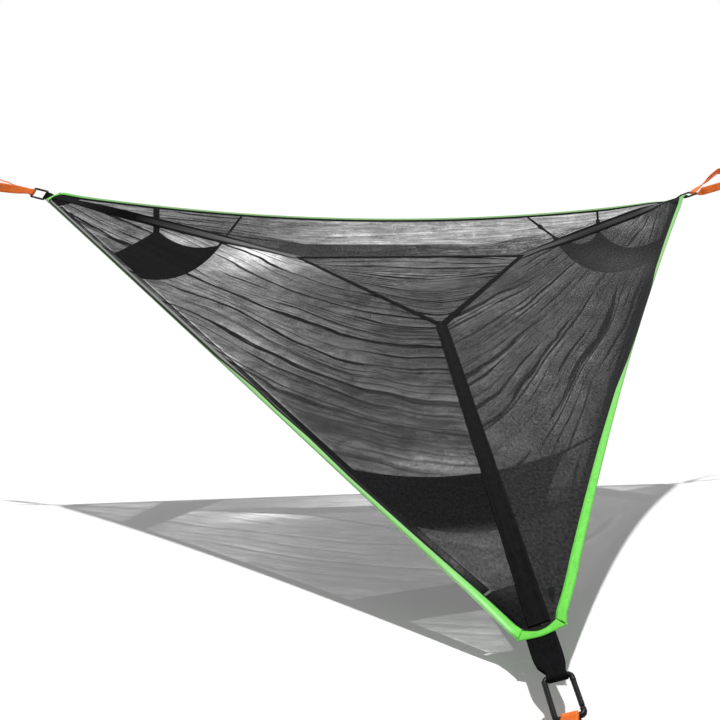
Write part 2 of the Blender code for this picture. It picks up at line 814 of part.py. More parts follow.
def make_strap_loop(corner):
    """The webbing folded round the carabiner's bar, both tails sewn under the corner."""
    place = fitting_axes(corner)[0]
    turn = ROD_RADIUS + GAP + STRAP_THICKNESS / 2
    spread = (TAIL_HEIGHT - SECOND_TAIL_HEIGHT) / 2
    wide, narrow = STRAP_WIDTH / 2, LOOP_WIDTH_AT_BAR / 2
    hem, leave = -LOOP_REACH[corner], -2.0 * turn
    upper = [(hem - LOOP_TAIL, spread, wide), (hem + 0.002, spread, wide)]
    for share in (0.2, 0.4, 0.6, 0.8, 1.0):
        x = hem + 0.002 + (leave - hem - 0.002) * share
        upper.append((x, spread + (turn - spread) * 0.8 * share, wide + (narrow - wide) * share))
    lower = [(x, -h, half) for x, h, half in reversed(upper)]
    turns = 8
    ring = []
    for k in range(turns + 1):
        angle = math.radians(108.0 - 216.0 * k / turns)
        ring.append((turn * math.cos(angle), turn * math.sin(angle), narrow))
    line = []
    for x, h, half in upper + ring + lower:
        share = smooth((x - hem - 0.002) / (leave - hem - 0.002))
        roll = CORNER_ROLL[corner] + (FITTING_ROLL[corner] - CORNER_ROLL[corner]) * share
        outward, sideways, up = corner_axes(corner, roll)
        line.append((place + outward * x + up * h, sideways * half))
    ribbon(corner + "_strap_loop", line, STRAP_THICKNESS, webbing_material())


def carabiner_line():
    """The rod's middle as (across, outward) points, from the gate's hinge round to its nose."""
    w, bend, reach = CARABINER_HALF_WIDTH, CARABINER_BEND, CARABINER_REACH
    line = [(w, GATE_PIVOT - TONGUE_REACH)]
    corners = (
        (w - bend, reach - bend, 0.0),
        (-w + bend, reach - bend, 90.0),
        (-w + bend, bend, 180.0),
        (w - bend, bend, 270.0),
    )
    for x, y, start in corners:
        for k in range(4):
            angle = math.radians(start + 30.0 * k)
            line.append((x + bend * math.cos(angle), y + bend * math.sin(angle)))
    line.append((w, GATE_NOSE))
    return line


def make_carabiner(corner):
    """The carabiner's body, with a flat tongue for the gate."""
    place, outward, sideways, up = fitting_axes(corner)
    points = [place + sideways * x + outward * y for x, y in carabiner_line()]
    body = tube(corner + "_carabiner", points, ROD_RADIUS, 2, metal_material())
    pose = Matrix((sideways, outward, up)).transposed().to_4x4()
    pivot = place + sideways * CARABINER_HALF_WIDTH + outward * GATE_PIVOT
    above = (2.0 * ROD_RADIUS - TONGUE_THICKNESS) / 2
    length = TONGUE_REACH + GATE_TAIL + 0.0025
    for side in (-1.0, 1.0):
        name = f"{corner}_tongue_cutter_{'over' if side > 0 else 'under'}"
        size = (3.0 * ROD_RADIUS, length + 0.001, above + 0.001)
        lift = TONGUE_THICKNESS / 2 + (above + 0.001) / 2
        middle = pivot + outward * (length / 2 - TONGUE_REACH - 0.0005) + up * side * lift
        cut(body, cutter(name, box_maker(size), Matrix.Translation(middle) @ pose))
    drill = drum_maker(PIN_RADIUS + PIN_CLEARANCE, 4.0 * ROD_RADIUS)
    cut(body, cutter(corner + "_body_drill", drill, Matrix.Translation(pivot) @ pose))


def make_gate(corner):
    """The gate: a rod forked round the tongue, drilled for its pin and bored for its spring."""
    place, outward, sideways, up = fitting_axes(corner)
    middle = place + sideways * CARABINER_HALF_WIDTH
    start = middle + outward * (GATE_NOSE + PIN_CLEARANCE)
    end = middle + outward * (GATE_PIVOT + GATE_TAIL)
    gate = tube(corner + "_gate", [start, end], GATE_RADIUS, 3, metal_material())
    pose = Matrix((sideways, outward, up)).transposed().to_4x4()
    pivot = middle + outward * GATE_PIVOT
    length = FORK_DEPTH + GATE_TAIL + 0.002
    slot = pivot + outward * (length / 2 - FORK_DEPTH)
    size = (4.0 * GATE_RADIUS, length, FORK_SLOT)
    cut(gate, cutter(corner + "_fork_cutter", box_maker(size), Matrix.Translation(slot) @ pose))
    drill = drum_maker(PIN_RADIUS + PIN_CLEARANCE, 4.0 * GATE_RADIUS)
    cut(gate, cutter(corner + "_gate_drill", drill, Matrix.Translation(pivot) @ pose))
    depth = SPRING_START + SPRING_LENGTH + GAP
    turned = pose @ Matrix.Rotation(math.radians(90.0), 4, "X")
    bore = Matrix.Translation(pivot - outward * depth / 2) @ turned
    cut(gate, cutter(corner + "_spring_bore", drum_maker(SPRING_BORE, depth), bore))


def make_gate_pin(corner):
    place, outward, sideways, up = fitting_axes(corner)
    pivot = place + sideways * CARABINER_HALF_WIDTH + outward * GATE_PIVOT
    half = up * GATE_RADIUS * 0.92
    tube(corner + "_gate_pin", [pivot - half, pivot + half], PIN_RADIUS, 2, steel_material())


def make_gate_spring(corner):
    """The coil that shuts the gate, in the gate's bore."""
    place, outward, sideways, up = fitting_axes(corner)
    pivot = place + sideways * CARABINER_HALF_WIDTH + outward * GATE_PIVOT
    points = []
    count = 8 * SPRING_CURLS
    for k in range(count + 1):
        angle = 2.0 * math.pi * SPRING_CURLS * k / count
        along = SPRING_START + SPRING_WIRE + (SPRING_LENGTH - 2.0 * SPRING_WIRE) * k / count
        ring = sideways * math.cos(angle) + up * math.sin(angle)
        points.append(pivot - outward * along + ring * SPRING_RADIUS)
    tube(corner + "_gate_spring", points, SPRING_WIRE, 0, steel_material())


def sling_line(corner):
    """The sling's middle and half width: round the outer bar, out and round the trunk's far side."""
    place, outward, sideways, up = fitting_axes(corner)
    bar = place + outward * CARABINER_REACH
    bearing = Matrix.Rotation(math.radians(TRUNK_BEARING[corner]), 3, "Z")
    ahead = bearing @ strap_direction(corner)
    across = UP.cross(ahead)
    side = LOWER_LEG_SIDE[corner]
    trunk = bar + ahead * TRUNK_REACH[corner] + UP * TRUNK_RISE[corner]
    turn = ROD_RADIUS + GAP + SLING_THICKNESS / 2
    radius = TRUNK_RADIUS[corner] + SLING_THICKNESS / 2
    wrap = 90.0 + math.degrees(math.asin(radius / TRUNK_REACH[corner]))
    line = []
    turns = 8
    for k in range(turns + 1):
        angle = math.radians(80.0 + 200.0 * k / turns)
        ring = outward * math.cos(angle) + up * math.sin(angle)
        line.append((bar + ring * turn, sideways * SLING_WIDTH_AT_BAR / 2))
    arc = []
    steps = 9
    for k in range(steps + 1):
        angle = math.radians(side * wrap * (1.0 - 2.0 * k / steps))
        ring = ahead * math.cos(angle) + across * math.sin(angle)
        arc.append((trunk + ring * radius, UP * side * SLING_WIDTH / 2))
    lower = sling_leg(corner, line[-1][0], arc[0][0], across)
    upper = sling_leg(corner, line[0][0], arc[-1][0], across)
    return line + lower + arc + list(reversed(upper))


def sling_leg(corner, start, end, across):
    """A leg from the bar to the trunk. Its width turns from the bar's direction to upright."""
    roll, upright = FITTING_ROLL[corner], 90.0 * LOWER_LEG_SIDE[corner]
    run = (end - start).normalized()
    leg = []
    for k in range(1, SLING_STEPS):
        t = k / SLING_STEPS
        spin = smooth(t / 0.85)
        angle = math.radians(roll + (upright - roll) * spin)
        width = across * math.cos(angle) + UP * math.sin(angle)
        width = (width - run * width.dot(run)).normalized()
        half = (SLING_WIDTH_AT_BAR + (SLING_WIDTH - SLING_WIDTH_AT_BAR) * spin) / 2
        leg.append((start.lerp(end, t), width * half))
    return leg


def make_sling(corner):
    name = corner + "_tree_sling"
    ribbon(name, sling_line(corner), SLING_THICKNESS, sling_material(), closed=True)


# The pockets


def along_edge(edge, corner, distance):
    """The hem's outside at a distance from a corner, and its inward, onward and up directions."""
    line = edge_stations(edge)
    order = list(range(STATIONS + 1))
    if EDGES[edge][1] == corner:
        order.reverse()
    left = distance
    for first, second in zip(order, order[1:]):
        run = (line[second] - line[first]).length
        if left <= run:
            share = left / run
            a, b = edge_frame(edge, first), edge_frame(edge, second)
            onward = (line[second] - line[first]).normalized()
            inward = a[1].lerp(b[1], share).normalized()
            return a[0].lerp(b[0], share), inward, onward, a[2].lerp(b[2], share).normalized()
        left -= run
    raise ValueError("the distance is longer than the edge")


def sewn_corner(corner, which):
    """Where the pocket is sewn under the edge webbing: its middle and the edge's direction."""
    edge = POCKET_SEWN_EDGE[corner]
    place, inward, onward, up = along_edge(edge, corner, POCKET_SEWN_AT[corner][which])
    depth = TAPE_HEIGHT - TAPE_THICKNESS / 2 - GAP - POCKET_THICKNESS / 2
    return place + inward * (BINDING_WIDTH + 3.0 * GAP) + up * depth, onward


def tie_line(corner, which):
    """A tie's run: under the edge webbing, then down to the pocket. The last two are its width."""
    edge = POCKET_TIED_EDGE[corner]
    place, inward, onward, up = along_edge(edge, corner, POCKET_TIED_AT[corner][which])
    depth = TAPE_HEIGHT - TAPE_THICKNESS / 2 - GAP - TIE_THICKNESS / 2
    start = place + inward * (BINDING_WIDTH + 3.0 * GAP) + up * depth
    bend = place + inward * TAPE_END + up * (depth - 0.001)
    end = bend + inward * TIE_INWARD[corner][which] - UP * TIE_DROP[corner][which]
    end = end + onward * TIE_SLANT[corner][which]
    run = (end - bend).normalized()
    across = (onward - run * onward.dot(run)).normalized()
    return start, bend, end, onward, across


def make_tie(corner, which):
    start, bend, end, onward, across = tie_line(corner, which)
    half = TIE_WIDTH[corner][which] / 2
    line = [(start, onward * half), (bend, onward * half)]
    line += [(bend.lerp(end, k / 3.0), across * half) for k in (1, 2, 3)]
    name = f"{corner}_pocket_tie_{'near' if which == 0 else 'far'}"
    ribbon(name, line, TIE_THICKNESS, webbing_material())


def pocket_grid(corner):
    """The pocket's cloth, from the sewn edge to the tied rim."""
    sewn, tied = [], []
    for which in (0, 1):
        sewn.append(sewn_corner(corner, which))
        _, bend, end, _, across = tie_line(corner, which)
        down = (end - bend).normalized()
        tied.append((end + down * GAP, across))
    tab = 0.026
    grid = []
    for i in range(POCKET_STEPS + 1):
        p = i / POCKET_STEPS
        row = []
        for q in (0.0, 0.06, 0.2, 0.36, 0.5, 0.64, 0.8, 0.94, 1.0):
            row.append(pocket_point(corner, sewn, tied, tab, p, q))
        grid.append(row)
    return grid


def rim_point(ends, widths, q):
    """A point along a rim between its two tabs, where q runs from one outer end to the other."""
    (first, way_a), (second, way_b) = ends
    a0, a1 = first - way_a * widths[0] / 2, first + way_a * widths[0] / 2
    b0, b1 = second - way_b * widths[1] / 2, second + way_b * widths[1] / 2
    if q <= 0.06:
        return a0.lerp(a1, q / 0.06)
    if q >= 0.94:
        return b0.lerp(b1, (q - 0.94) / 0.06)
    return a1.lerp(b0, (q - 0.06) / 0.88)


def pocket_point(corner, sewn, tied, tab, p, q):
    low = rim_point(sewn, (tab, tab), q)
    high = rim_point(tied, TIE_WIDTH[corner], q)
    bow = 4.0 * max(0.0, (q - 0.06) / 0.88) * max(0.0, 1.0 - (q - 0.06) / 0.88)
    bow = bow if 0.06 < q < 0.94 else 0.0
    inward = flat(low - high).normalized()
    dip = POCKET_RIM_DIP[corner] * bow
    high = high + inward * POCKET_RIM_DRAW[corner] * bow - UP * dip
    low = low - UP * 0.5 * dip
    near, middle, far = POCKET_SAG[corner]
    sag = near * (1.0 - q) * (1.0 - 2.0 * q) + middle * 4.0 * q * (1.0 - q) + far * q * (2.0 * q - 1.0)
    point = low.lerp(high, p)
    return point - UP * sag * 4.0 * p * (1.0 - p)


def make_pocket(corner):
    sheet(corner + "_pocket", pocket_grid(corner), POCKET_THICKNESS, cloth_material())


def make_adjuster(corner, which):
    """The little buckle that slides on a pocket tie."""
    _, bend, end, _, across = tie_line(corner, which)
    along = (end - bend).normalized()
    face = across.cross(along)
    middle = bend.lerp(end, 0.5)
    pose = Matrix((across, along, face)).transposed().to_4x4()
    bm = bmesh.new()
    size = (ADJUSTER_WIDTH, ADJUSTER_LENGTH, ADJUSTER_THICKNESS)
    bmesh.ops.create_cube(bm, size=1.0, matrix=Matrix.Diagonal((*size, 1.0)))
    name = f"{corner}_adjuster_{'near' if which == 0 else 'far'}"
    mesh = bpy.data.meshes.new(name)
    bm.to_mesh(mesh)
    bm.free()
    buckle = finish(mesh, name, plastic_material())
    buckle.matrix_world = Matrix.Translation(middle) @ pose
    bevel = buckle.modifiers.new("edges", "BEVEL")
    bevel.width = 0.0012
    bevel.segments = 1
    slot = (TIE_WIDTH[corner][which] + 2 * GAP, 2 * ADJUSTER_LENGTH, TIE_THICKNESS + 2 * GAP)
    cut(buckle, cutter(name + "_slot", box_maker(slot), Matrix.Translation(middle) @ pose))


def main():
    clear_scene()
    for edge in EDGES:
        make_net_panel(edge)
        make_edge_tape(edge)
        make_edge_binding(edge)
        make_hem_cord(edge)
    make_hatch_panel()
    make_hatch_flap()
    make_hatch_webbing("right", "left", "rear_hatch_webbing")
    make_hatch_webbing("left", "front", "left_hatch_webbing")
    make_hatch_webbing("front", "right", "right_hatch_webbing")
    for corner in CORNER_ANGLE:
        make_corner_strap(corner)
        make_corner_binding(corner)
        make_corner_patch(corner)
        make_strap_loop(corner)
        make_carabiner(corner)
        make_gate(corner)
        make_gate_pin(corner)
        make_gate_spring(corner)
        make_sling(corner)
        make_pocket(corner)
        for which in (0, 1):
            make_tie(corner, which)
    make_adjuster("right", 0)
    make_adjuster("right", 1)


main()
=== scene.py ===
"""Looks of the triangle hammock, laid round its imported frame. Metres, +Z up."""

import math

import bmesh
import bpy
import numpy as np
from mathutils import Euler, Matrix, Vector, noise


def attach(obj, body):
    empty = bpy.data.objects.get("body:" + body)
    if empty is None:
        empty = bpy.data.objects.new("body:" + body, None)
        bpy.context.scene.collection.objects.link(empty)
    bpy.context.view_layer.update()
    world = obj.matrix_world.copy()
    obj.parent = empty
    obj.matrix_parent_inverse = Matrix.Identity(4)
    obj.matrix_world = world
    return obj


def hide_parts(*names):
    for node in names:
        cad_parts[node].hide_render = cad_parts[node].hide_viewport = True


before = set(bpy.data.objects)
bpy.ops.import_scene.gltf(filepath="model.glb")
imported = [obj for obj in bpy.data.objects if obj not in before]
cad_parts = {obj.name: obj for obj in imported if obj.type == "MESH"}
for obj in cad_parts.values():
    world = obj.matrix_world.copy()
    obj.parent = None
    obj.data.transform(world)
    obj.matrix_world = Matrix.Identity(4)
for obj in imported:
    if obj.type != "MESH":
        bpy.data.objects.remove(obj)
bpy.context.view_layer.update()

# The hung triangle, with the same values as the part
SIDE = 2.800
CORNER_WIDTH = 0.080
EDGE_INSET = 0.030
EDGE_SAG = {"rear": 0.094, "left": 0.038, "right": 0.100}
CORNER_ROLL = {"left": -6.0, "right": -30.0, "front": 26.0}
FITTING_ROLL = {"left": -38.0, "right": -8.0, "front": 20.0}
STRAP_CANT = {"left": -45.0, "right": 45.0, "front": 4.0}
STRAP_AIM = (0.100, -0.010)
STRAP_REACH = {"left": 1.188, "right": 1.055, "front": 1.260}
HATCH_DEPTH = 0.070

NET_THICKNESS = 0.0006
STRAP_WIDTH = 0.038
STRAP_THICKNESS = 0.0016
HATCH_WEBBING_WIDTH = 0.016
HATCH_WEBBING_THICKNESS = 0.0012
TAPE_WIDTH = 0.025
TAPE_THICKNESS = 0.0012
PATCH_THICKNESS = 0.0004
FLAP_THICKNESS = 0.0006
FLAP_WIDTH = 0.160
POCKET_THICKNESS = 0.0008
TIE_THICKNESS = 0.0012
BINDING_WIDTH = 0.018
BINDING_WALL = 0.0008
HEM_CORD_RADIUS = 0.0025
GAP = 0.0004
SEAM = 0.0010
NET_BELLY = 0.012
FOLD_DEPTH = 0.006
FOLDS = 3

LOOP_REACH = {"left": 0.036, "right": 0.055, "front": 0.083}
LOOP_TAIL = 0.070
LOOP_WIDTH_AT_BAR = 0.0310
ROD_RADIUS = 0.0045
CARABINER_REACH = 0.070
CARABINER_HALF_WIDTH = 0.0210
CARABINER_BEND = 0.0065
GATE_RADIUS = 0.0042
GATE_NOSE = 0.0135
GATE_PIVOT = 0.0550
PIN_CLEARANCE = 0.0003

SLING_WIDTH = 0.030
SLING_WIDTH_AT_BAR = 0.026
SLING_THICKNESS = 0.0020
TRUNK_RADIUS = {"left": 0.075, "right": 0.075, "front": 0.090}
TRUNK_REACH = {"left": 0.360, "right": 0.360, "front": 0.260}
TRUNK_RISE = {"left": 0.014, "right": 0.035, "front": 0.0}
TRUNK_BEARING = {"left": -1.4, "right": 1.8, "front": 0.0}
LOWER_LEG_SIDE = {"left": -1.0, "right": -1.0, "front": 1.0}

POCKET_TIED_EDGE = {"left": "rear", "right": "rear", "front": "right"}
POCKET_SEWN_EDGE = {"left": "left", "right": "right", "front": "left"}
POCKET_TIED_AT = {"left": (0.420, 0.785), "right": (0.365, 0.690), "front": (0.400, 0.700)}
POCKET_SEWN_AT = {"left": (0.700, 0.910), "right": (0.480, 0.700), "front": (0.360, 0.550)}
POCKET_SAG = {
    "left": (0.005, 0.030, 0.060),
    "right": (0.065, 0.070, 0.110),
    "front": (0.040, 0.060, 0.050),
}
POCKET_RIM_DIP = {"left": 0.022, "right": 0.035, "front": 0.030}
POCKET_RIM_DRAW = {"left": 0.030, "right": 0.050, "front": 0.020}
TIE_WIDTH = {"left": (0.027, 0.010), "right": (0.010, 0.010), "front": (0.020, 0.016)}
TIE_DROP = {"left": (0.088, 0.125), "right": (0.074, 0.074), "front": (0.045, 0.060)}
TIE_INWARD = {"left": (0.050, 0.050), "right": (0.050, 0.050), "front": (0.045, 0.060)}
TIE_SLANT = {"left": (0.0, -0.100), "right": (0.0, -0.105), "front": (0.0, -0.010)}
TAB = 0.026

STRAP_STEPS = 11
HATCH_STEPS = 6
NET_ROWS = 12
ROLL_BLEND = (1.0, 1.0, 0.7, 0.3)
FIRST_STRAP_STEP = 0.024
FIRST_EDGE_STEP = 0.028
FLAP_REACH = 0.60  # the rear net's share of columns that lies clear of the flap
DIP_REACH = {"rear": 0.62, "left": 1.0, "right": 1.0}  # the share of each net's width that dips
STRAP_LEVELS = 0.65  # the share of the way to the hatch at which a strap starts to turn level

UP = Vector((0.0, 0.0, 1.0))
CORNER_ANGLE = {"right": 30.0, "left": 150.0, "front": 270.0}
EDGES = {"rear": ("right", "left"), "left": ("left", "front"), "right": ("front", "right")}
STATIONS = 2 * STRAP_STEPS + HATCH_STEPS

STRAP_HEIGHT = NET_THICKNESS / 2 + 2 * GAP + STRAP_THICKNESS / 2
HATCH_WEBBING_HEIGHT = NET_THICKNESS / 2 + GAP + HATCH_WEBBING_THICKNESS / 2
FLAP_HEIGHT = NET_THICKNESS / 2 + 3 * GAP + FLAP_THICKNESS / 2
TAPE_HEIGHT = -(NET_THICKNESS / 2 + GAP + TAPE_THICKNESS / 2)
PATCH_HEIGHT = -(NET_THICKNESS / 2 + GAP + PATCH_THICKNESS / 2)
LIP_TOP = NET_THICKNESS / 2 + GAP + BINDING_WALL / 2
LIP_UNDER_NET = -LIP_TOP
LIP_UNDER_TAPE = TAPE_HEIGHT - TAPE_THICKNESS / 2 - GAP - BINDING_WALL / 2
TAIL_HEIGHT = LIP_UNDER_NET - BINDING_WALL / 2 - GAP - STRAP_THICKNESS / 2
SECOND_TAIL_HEIGHT = TAIL_HEIGHT - STRAP_THICKNESS - GAP
BAR_HEIGHT = (TAIL_HEIGHT + SECOND_TAIL_HEIGHT) / 2

BEAD_RADIUS = HEM_CORD_RADIUS + GAP + 1.5 * BINDING_WALL
BEAD_INSET = BEAD_RADIUS + BINDING_WALL / 2
NET_TUCK = BEAD_INSET + HEM_CORD_RADIUS + 2 * GAP
TAPE_START = NET_TUCK + GAP
TAPE_END = TAPE_START + TAPE_WIDTH
LIP_ROW = BINDING_WIDTH + 2 * GAP
TAPE_ROW = TAPE_END
STRAP_ROW = STRAP_WIDTH / 2 + 0.0005
HATCH_ROW = HATCH_WEBBING_WIDTH / 2 + 0.0005

ROOT = "hammock"

# The camera

CAMERA_PLACE = (-0.3903, -2.4131, 0.9387)
CAMERA_TURN = (61.409, -1.624, -5.104)  # degrees
CAMERA_LENS = 37.0  # millimetres, before a sensor of 36
CAMERA_SENSOR = 36.0


def make_camera():
    data = bpy.data.cameras.new("camera")
    data.lens = CAMERA_LENS
    data.sensor_width = CAMERA_SENSOR
    camera = bpy.data.objects.new("camera", data)
    camera.location = CAMERA_PLACE
    camera.rotation_euler = Euler([math.radians(angle) for angle in CAMERA_TURN])
    bpy.context.scene.collection.objects.link(camera)
    bpy.context.scene.camera = camera


# Plan geometry, as the part has it


def smooth(t):
    t = max(0.0, min(1.0, t))
    return t * t * (3.0 - 2.0 * t)


def flat(v):
    return Vector((v.x, v.y, 0.0))


def meet(p, d, q, e):
    """Where two lines of the plan cross: one through p along d, one through q along e."""
    k = ((q.x - p.x) * e.y - (q.y - p.y) * e.x) / (d.x * e.y - d.y * e.x)
    return p + d * k


def corner_place(corner):
    angle = math.radians(CORNER_ANGLE[corner])
    reach = SIDE / math.sqrt(3.0)
    return Vector((reach * math.cos(angle), reach * math.sin(angle), 0.0))


def strap_direction(corner):
    return (corner_place(corner) - Vector((*STRAP_AIM, 0.0))).normalized()


def junction(corner):
    """The hatch's corner that this strap reaches."""
    place = corner_place(corner) - strap_direction(corner) * STRAP_REACH[corner]
    place.z = -HATCH_DEPTH
    return place


def corner_axes(corner, roll=None):
    """Outwards along the strap, sideways and up, at the corner."""
    outward = (corner_place(corner) - junction(corner)).normalized()
    level = UP.cross(strap_direction(corner))
    roll = math.radians(CORNER_ROLL[corner] if roll is None else roll)
    lift = outward.cross(level)
    sideways = level * math.cos(roll) + lift * math.sin(roll)
    return outward, sideways, outward.cross(sideways)


def strap_cant(corner, t):
    roll, lean = CORNER_ROLL[corner], STRAP_CANT[corner]
    steady = 1.0 / (STRAP_STEPS - 1)
    rise = roll + (lean - roll) * smooth((t - steady) / (2.0 * steady))
    return math.radians(rise * (1.0 - smooth((t - STRAP_LEVELS) / (1.0 - STRAP_LEVELS - steady))))


def strap_frame(corner, step):
    """The middle of the strap at a step, its sideways direction and its upward one."""
    outward = corner_axes(corner)[0]
    if step < 2:
        t = 0.0
        middle = corner_place(corner) - outward * (NET_TUCK, FIRST_STRAP_STEP)[step]
    else:
        t = (step - 1) / (STRAP_STEPS - 1)
        middle = corner_place(corner).lerp(junction(corner), t)
    cant = strap_cant(corner, t)
    level = UP.cross(strap_direction(corner))
    lift = outward.cross(level)
    sideways = level * math.cos(cant) + lift * math.sin(cant)
    return middle, sideways, outward.cross(sideways)


def edge_stations(edge):
    """The outside of the hem, from corner to corner."""
    a, b = EDGES[edge]
    start = corner_place(a) + corner_axes(a)[1] * CORNER_WIDTH / 2
    end = corner_place(b) - corner_axes(b)[1] * CORNER_WIDTH / 2
    inward = -flat(corner_place(a) + corner_place(b)).normalized()
    line = []
    for i in range(STATIONS - 1):
        u = i / (STATIONS - 2)
        bow = 4.0 * u * (1.0 - u)
        line.append(start.lerp(end, u) + inward * EDGE_INSET * bow - UP * EDGE_SAG[edge] * bow)
    second = flat_step(a, line[0], line[1])
    last = flat_step(b, line[-1], line[-2])
    return [line[0], second, *line[1:-1], last, line[-1]]


def flat_step(corner, start, towards):
    up = corner_axes(corner)[2]
    run = towards - start
    return start + (run - up * run.dot(up)).normalized() * FIRST_EDGE_STEP


def edge_frame(edge, i):
    """The hem's outside at a station, with its inward and upward directions."""
    line = edge_stations(edge)
    before, after = line[max(i - 1, 0)], line[min(i + 1, STATIONS)]
    if i == 1:
        after = line[1]
    if i == STATIONS - 1:
        before = line[i]
    along = (after - before).normalized()
    up = UP
    for corner, steps in ((EDGES[edge][0], i), (EDGES[edge][1], STATIONS - i)):
        if steps < len(ROLL_BLEND):
            up = UP.lerp(corner_axes(corner)[2], ROLL_BLEND[steps])
    inward = up.cross(along).normalized()
    return line[i], inward, along.cross(inward)


def corner_slant(edge, at_start):
    """What to add at a cut corner for each metre in from the hem, and in from the cut."""
    a, b = EDGES[edge]
    corner = a if at_start else b
    outward, sideways, _ = corner_axes(corner)
    line = edge_stations(edge)
    run = line[1] - line[0] if at_start else line[-2] - line[-1]
    side = 1.0 if at_start else -1.0
    back, out = -run.dot(outward), run.dot(sideways) * side
    length = math.hypot(back, out)
    back, out = back / length, out / length
    from_hem = sideways * (-side / back)
    from_cut = -outward + sideways * (side * out / back)
    return from_hem, from_cut


def edge_point(edge, i, inset, height=0.0, from_cut=NET_TUCK):
    """A point this far in from the hem and this high above the net, at a station."""
    if 0 < i < STATIONS:
        place, inward, up = edge_frame(edge, i)
        return place + inward * inset + up * height
    corner = EDGES[edge][0] if i == 0 else EDGES[edge][1]
    place = edge_stations(edge)[i]
    by_hem, by_cut = corner_slant(edge, i == 0)
    return place + by_hem * inset + by_cut * from_cut + corner_axes(corner)[2] * height


def inner_frame(edge, i):
    """The line that the panel is sewn to: (middle, towards the panel, up, half webbing)."""
    a, b = EDGES[edge]
    if i < STRAP_STEPS:
        middle, sideways, up = strap_frame(a, i)
        return middle, sideways, up, STRAP_ROW
    if i > STATIONS - STRAP_STEPS:
        middle, sideways, up = strap_frame(b, STATIONS - i)
        return middle, -sideways, up, STRAP_ROW
    start, end = junction(a), junction(b)
    middle = start.lerp(end, (i - STRAP_STEPS) / HATCH_STEPS)
    return middle, (end - start).normalized().cross(UP), UP, HATCH_ROW


def hatch_side(corner, side):
    """The hatch's side that leaves a strap's end on this hand: its direction and its outward one."""
    names = list(CORNER_ANGLE)
    other = junction(names[(names.index(corner) + (1 if side > 0 else -1)) % 3])
    onward = (other - junction(corner)).normalized()
    return onward, onward.cross(UP) if side > 0 else UP.cross(onward)


def outer_mitre(corner, offset):
    """Where lines this far outside the two hatch sides cross, at a hatch corner."""
    here = junction(corner)
    (onward, out), (back, other_out) = hatch_side(corner, 1.0), hatch_side(corner, -1.0)
    return meet(here + out * offset, onward, here + other_out * offset, back)


def strap_rise(corner, place):
    past = (place - junction(corner)).dot(strap_direction(corner))
    return max(0.0, past) * HATCH_DEPTH / STRAP_REACH[corner]


def net_corner_row(corner, side):
    """The panel's row beside the strap, where the strap meets the hatch."""
    here, out = junction(corner), strap_direction(corner)
    onward, outside = hatch_side(corner, side)
    return meet(here + UP.cross(out) * side * STRAP_ROW, out, here + outside * HATCH_ROW, onward)


def net_rows(edge, i):
    """One line of the net across its panel, from the hem to the seam under the webbing."""
    middle, towards, _, half = inner_frame(edge, i)
    seam = middle + towards * SEAM
    beside = middle + towards * half
    if i == STRAP_STEPS:
        beside = net_corner_row(EDGES[edge][0], 1.0)
        seam = middle.lerp(beside, SEAM / HATCH_ROW)
    if i == STATIONS - STRAP_STEPS:
        beside = net_corner_row(EDGES[edge][1], -1.0)
        seam = middle.lerp(beside, SEAM / HATCH_ROW)
    tucked = edge_point(edge, i, NET_TUCK)
    lip = edge_point(edge, i, LIP_ROW)
    if 1 < i < STATIONS - 1:
        taped = edge_point(edge, i, TAPE_ROW)
    else:
        taped = lip.lerp(beside, 0.5)
    rows = [tucked, lip, taped]
    inner = NET_ROWS - 3
    u = max(0.0, min(1.0, (i - 1) / (STATIONS - 2)))
    for j in range(1, inner):
        v = j / inner
        rows.append(taped.lerp(beside, v) - UP * net_dip(edge, u, v))
    return rows + [beside, seam]


def net_dip(edge, u, v):
    v = v / DIP_REACH[edge]
    if v >= 1.0:
        return 0.0
    spread = math.sin(math.pi * u) ** 2
    belly = NET_BELLY * math.sin(math.pi * v)
    folds = FOLD_DEPTH * math.sin(math.pi * v) * math.sin(2.0 * math.pi * FOLDS * v)
    return spread * (belly + folds)


def neighbours(corner):
    starting = next(edge for edge, ends in EDGES.items() if ends[0] == corner)
    ending = next(edge for edge, ends in EDGES.items() if ends[1] == corner)
    return starting, ending


def fitting_axes(corner):
    """The middle of the bar inside the webbing loop, and the carabiner's axes."""
    outward, _, level = corner_axes(corner)
    place = corner_place(corner) + outward * LOOP_REACH[corner] + level * BAR_HEIGHT
    return (place, *corner_axes(corner, FITTING_ROLL[corner]))


# Mesh helpers


def refine(points, fine, breaks=()):
    """Smooth curves through rows of points, fine steps for each one, kinked at the breaks."""
    points = np.array([[list(q) for q in p] for p in points], float)
    cuts = [0, *breaks, len(points) - 1]
    parts = []
    for a, b in zip(cuts, cuts[1:]):
        run = points[a : b + 1]
        count = b - a
        slope = np.gradient(run, axis=0)
        t = np.linspace(0, count, count * fine + 1)[(1 if parts else 0) :]
        k = np.clip(np.floor(t).astype(int), 0, count - 1)
        f = (t - k)[:, None, None]
        p0, p1, m0, m1 = run[k], run[k + 1], slope[k], slope[k + 1]
        parts.append(
            (2 * f**3 - 3 * f**2 + 1) * p0
            + (f**3 - 2 * f**2 + f) * m0
            + (3 * f**2 - 2 * f**3) * p1
            + (f**3 - f**2) * m1
        )
    return np.concatenate(parts)


def across(grid, fine, breaks=()):
    return np.swapaxes(refine(np.swapaxes(np.array(grid), 0, 1), fine, breaks), 0, 1)


def grid_mesh(name, grid):
    """A mesh of quads on a grid of points."""
    grid = np.asarray(grid, float)
    rows, columns = grid.shape[:2]
    number = np.arange(rows * columns).reshape(rows, columns)
    a, b = number[:-1, :-1], number[1:, :-1]
    c, d = number[1:, 1:], number[:-1, 1:]
    faces = np.stack([a, b, c, d], axis=-1).reshape(-1, 4).tolist()
    mesh = bpy.data.meshes.new(name)
    mesh.from_pydata(grid.reshape(-1, 3).tolist(), [], faces)
    mesh.update()
    return mesh


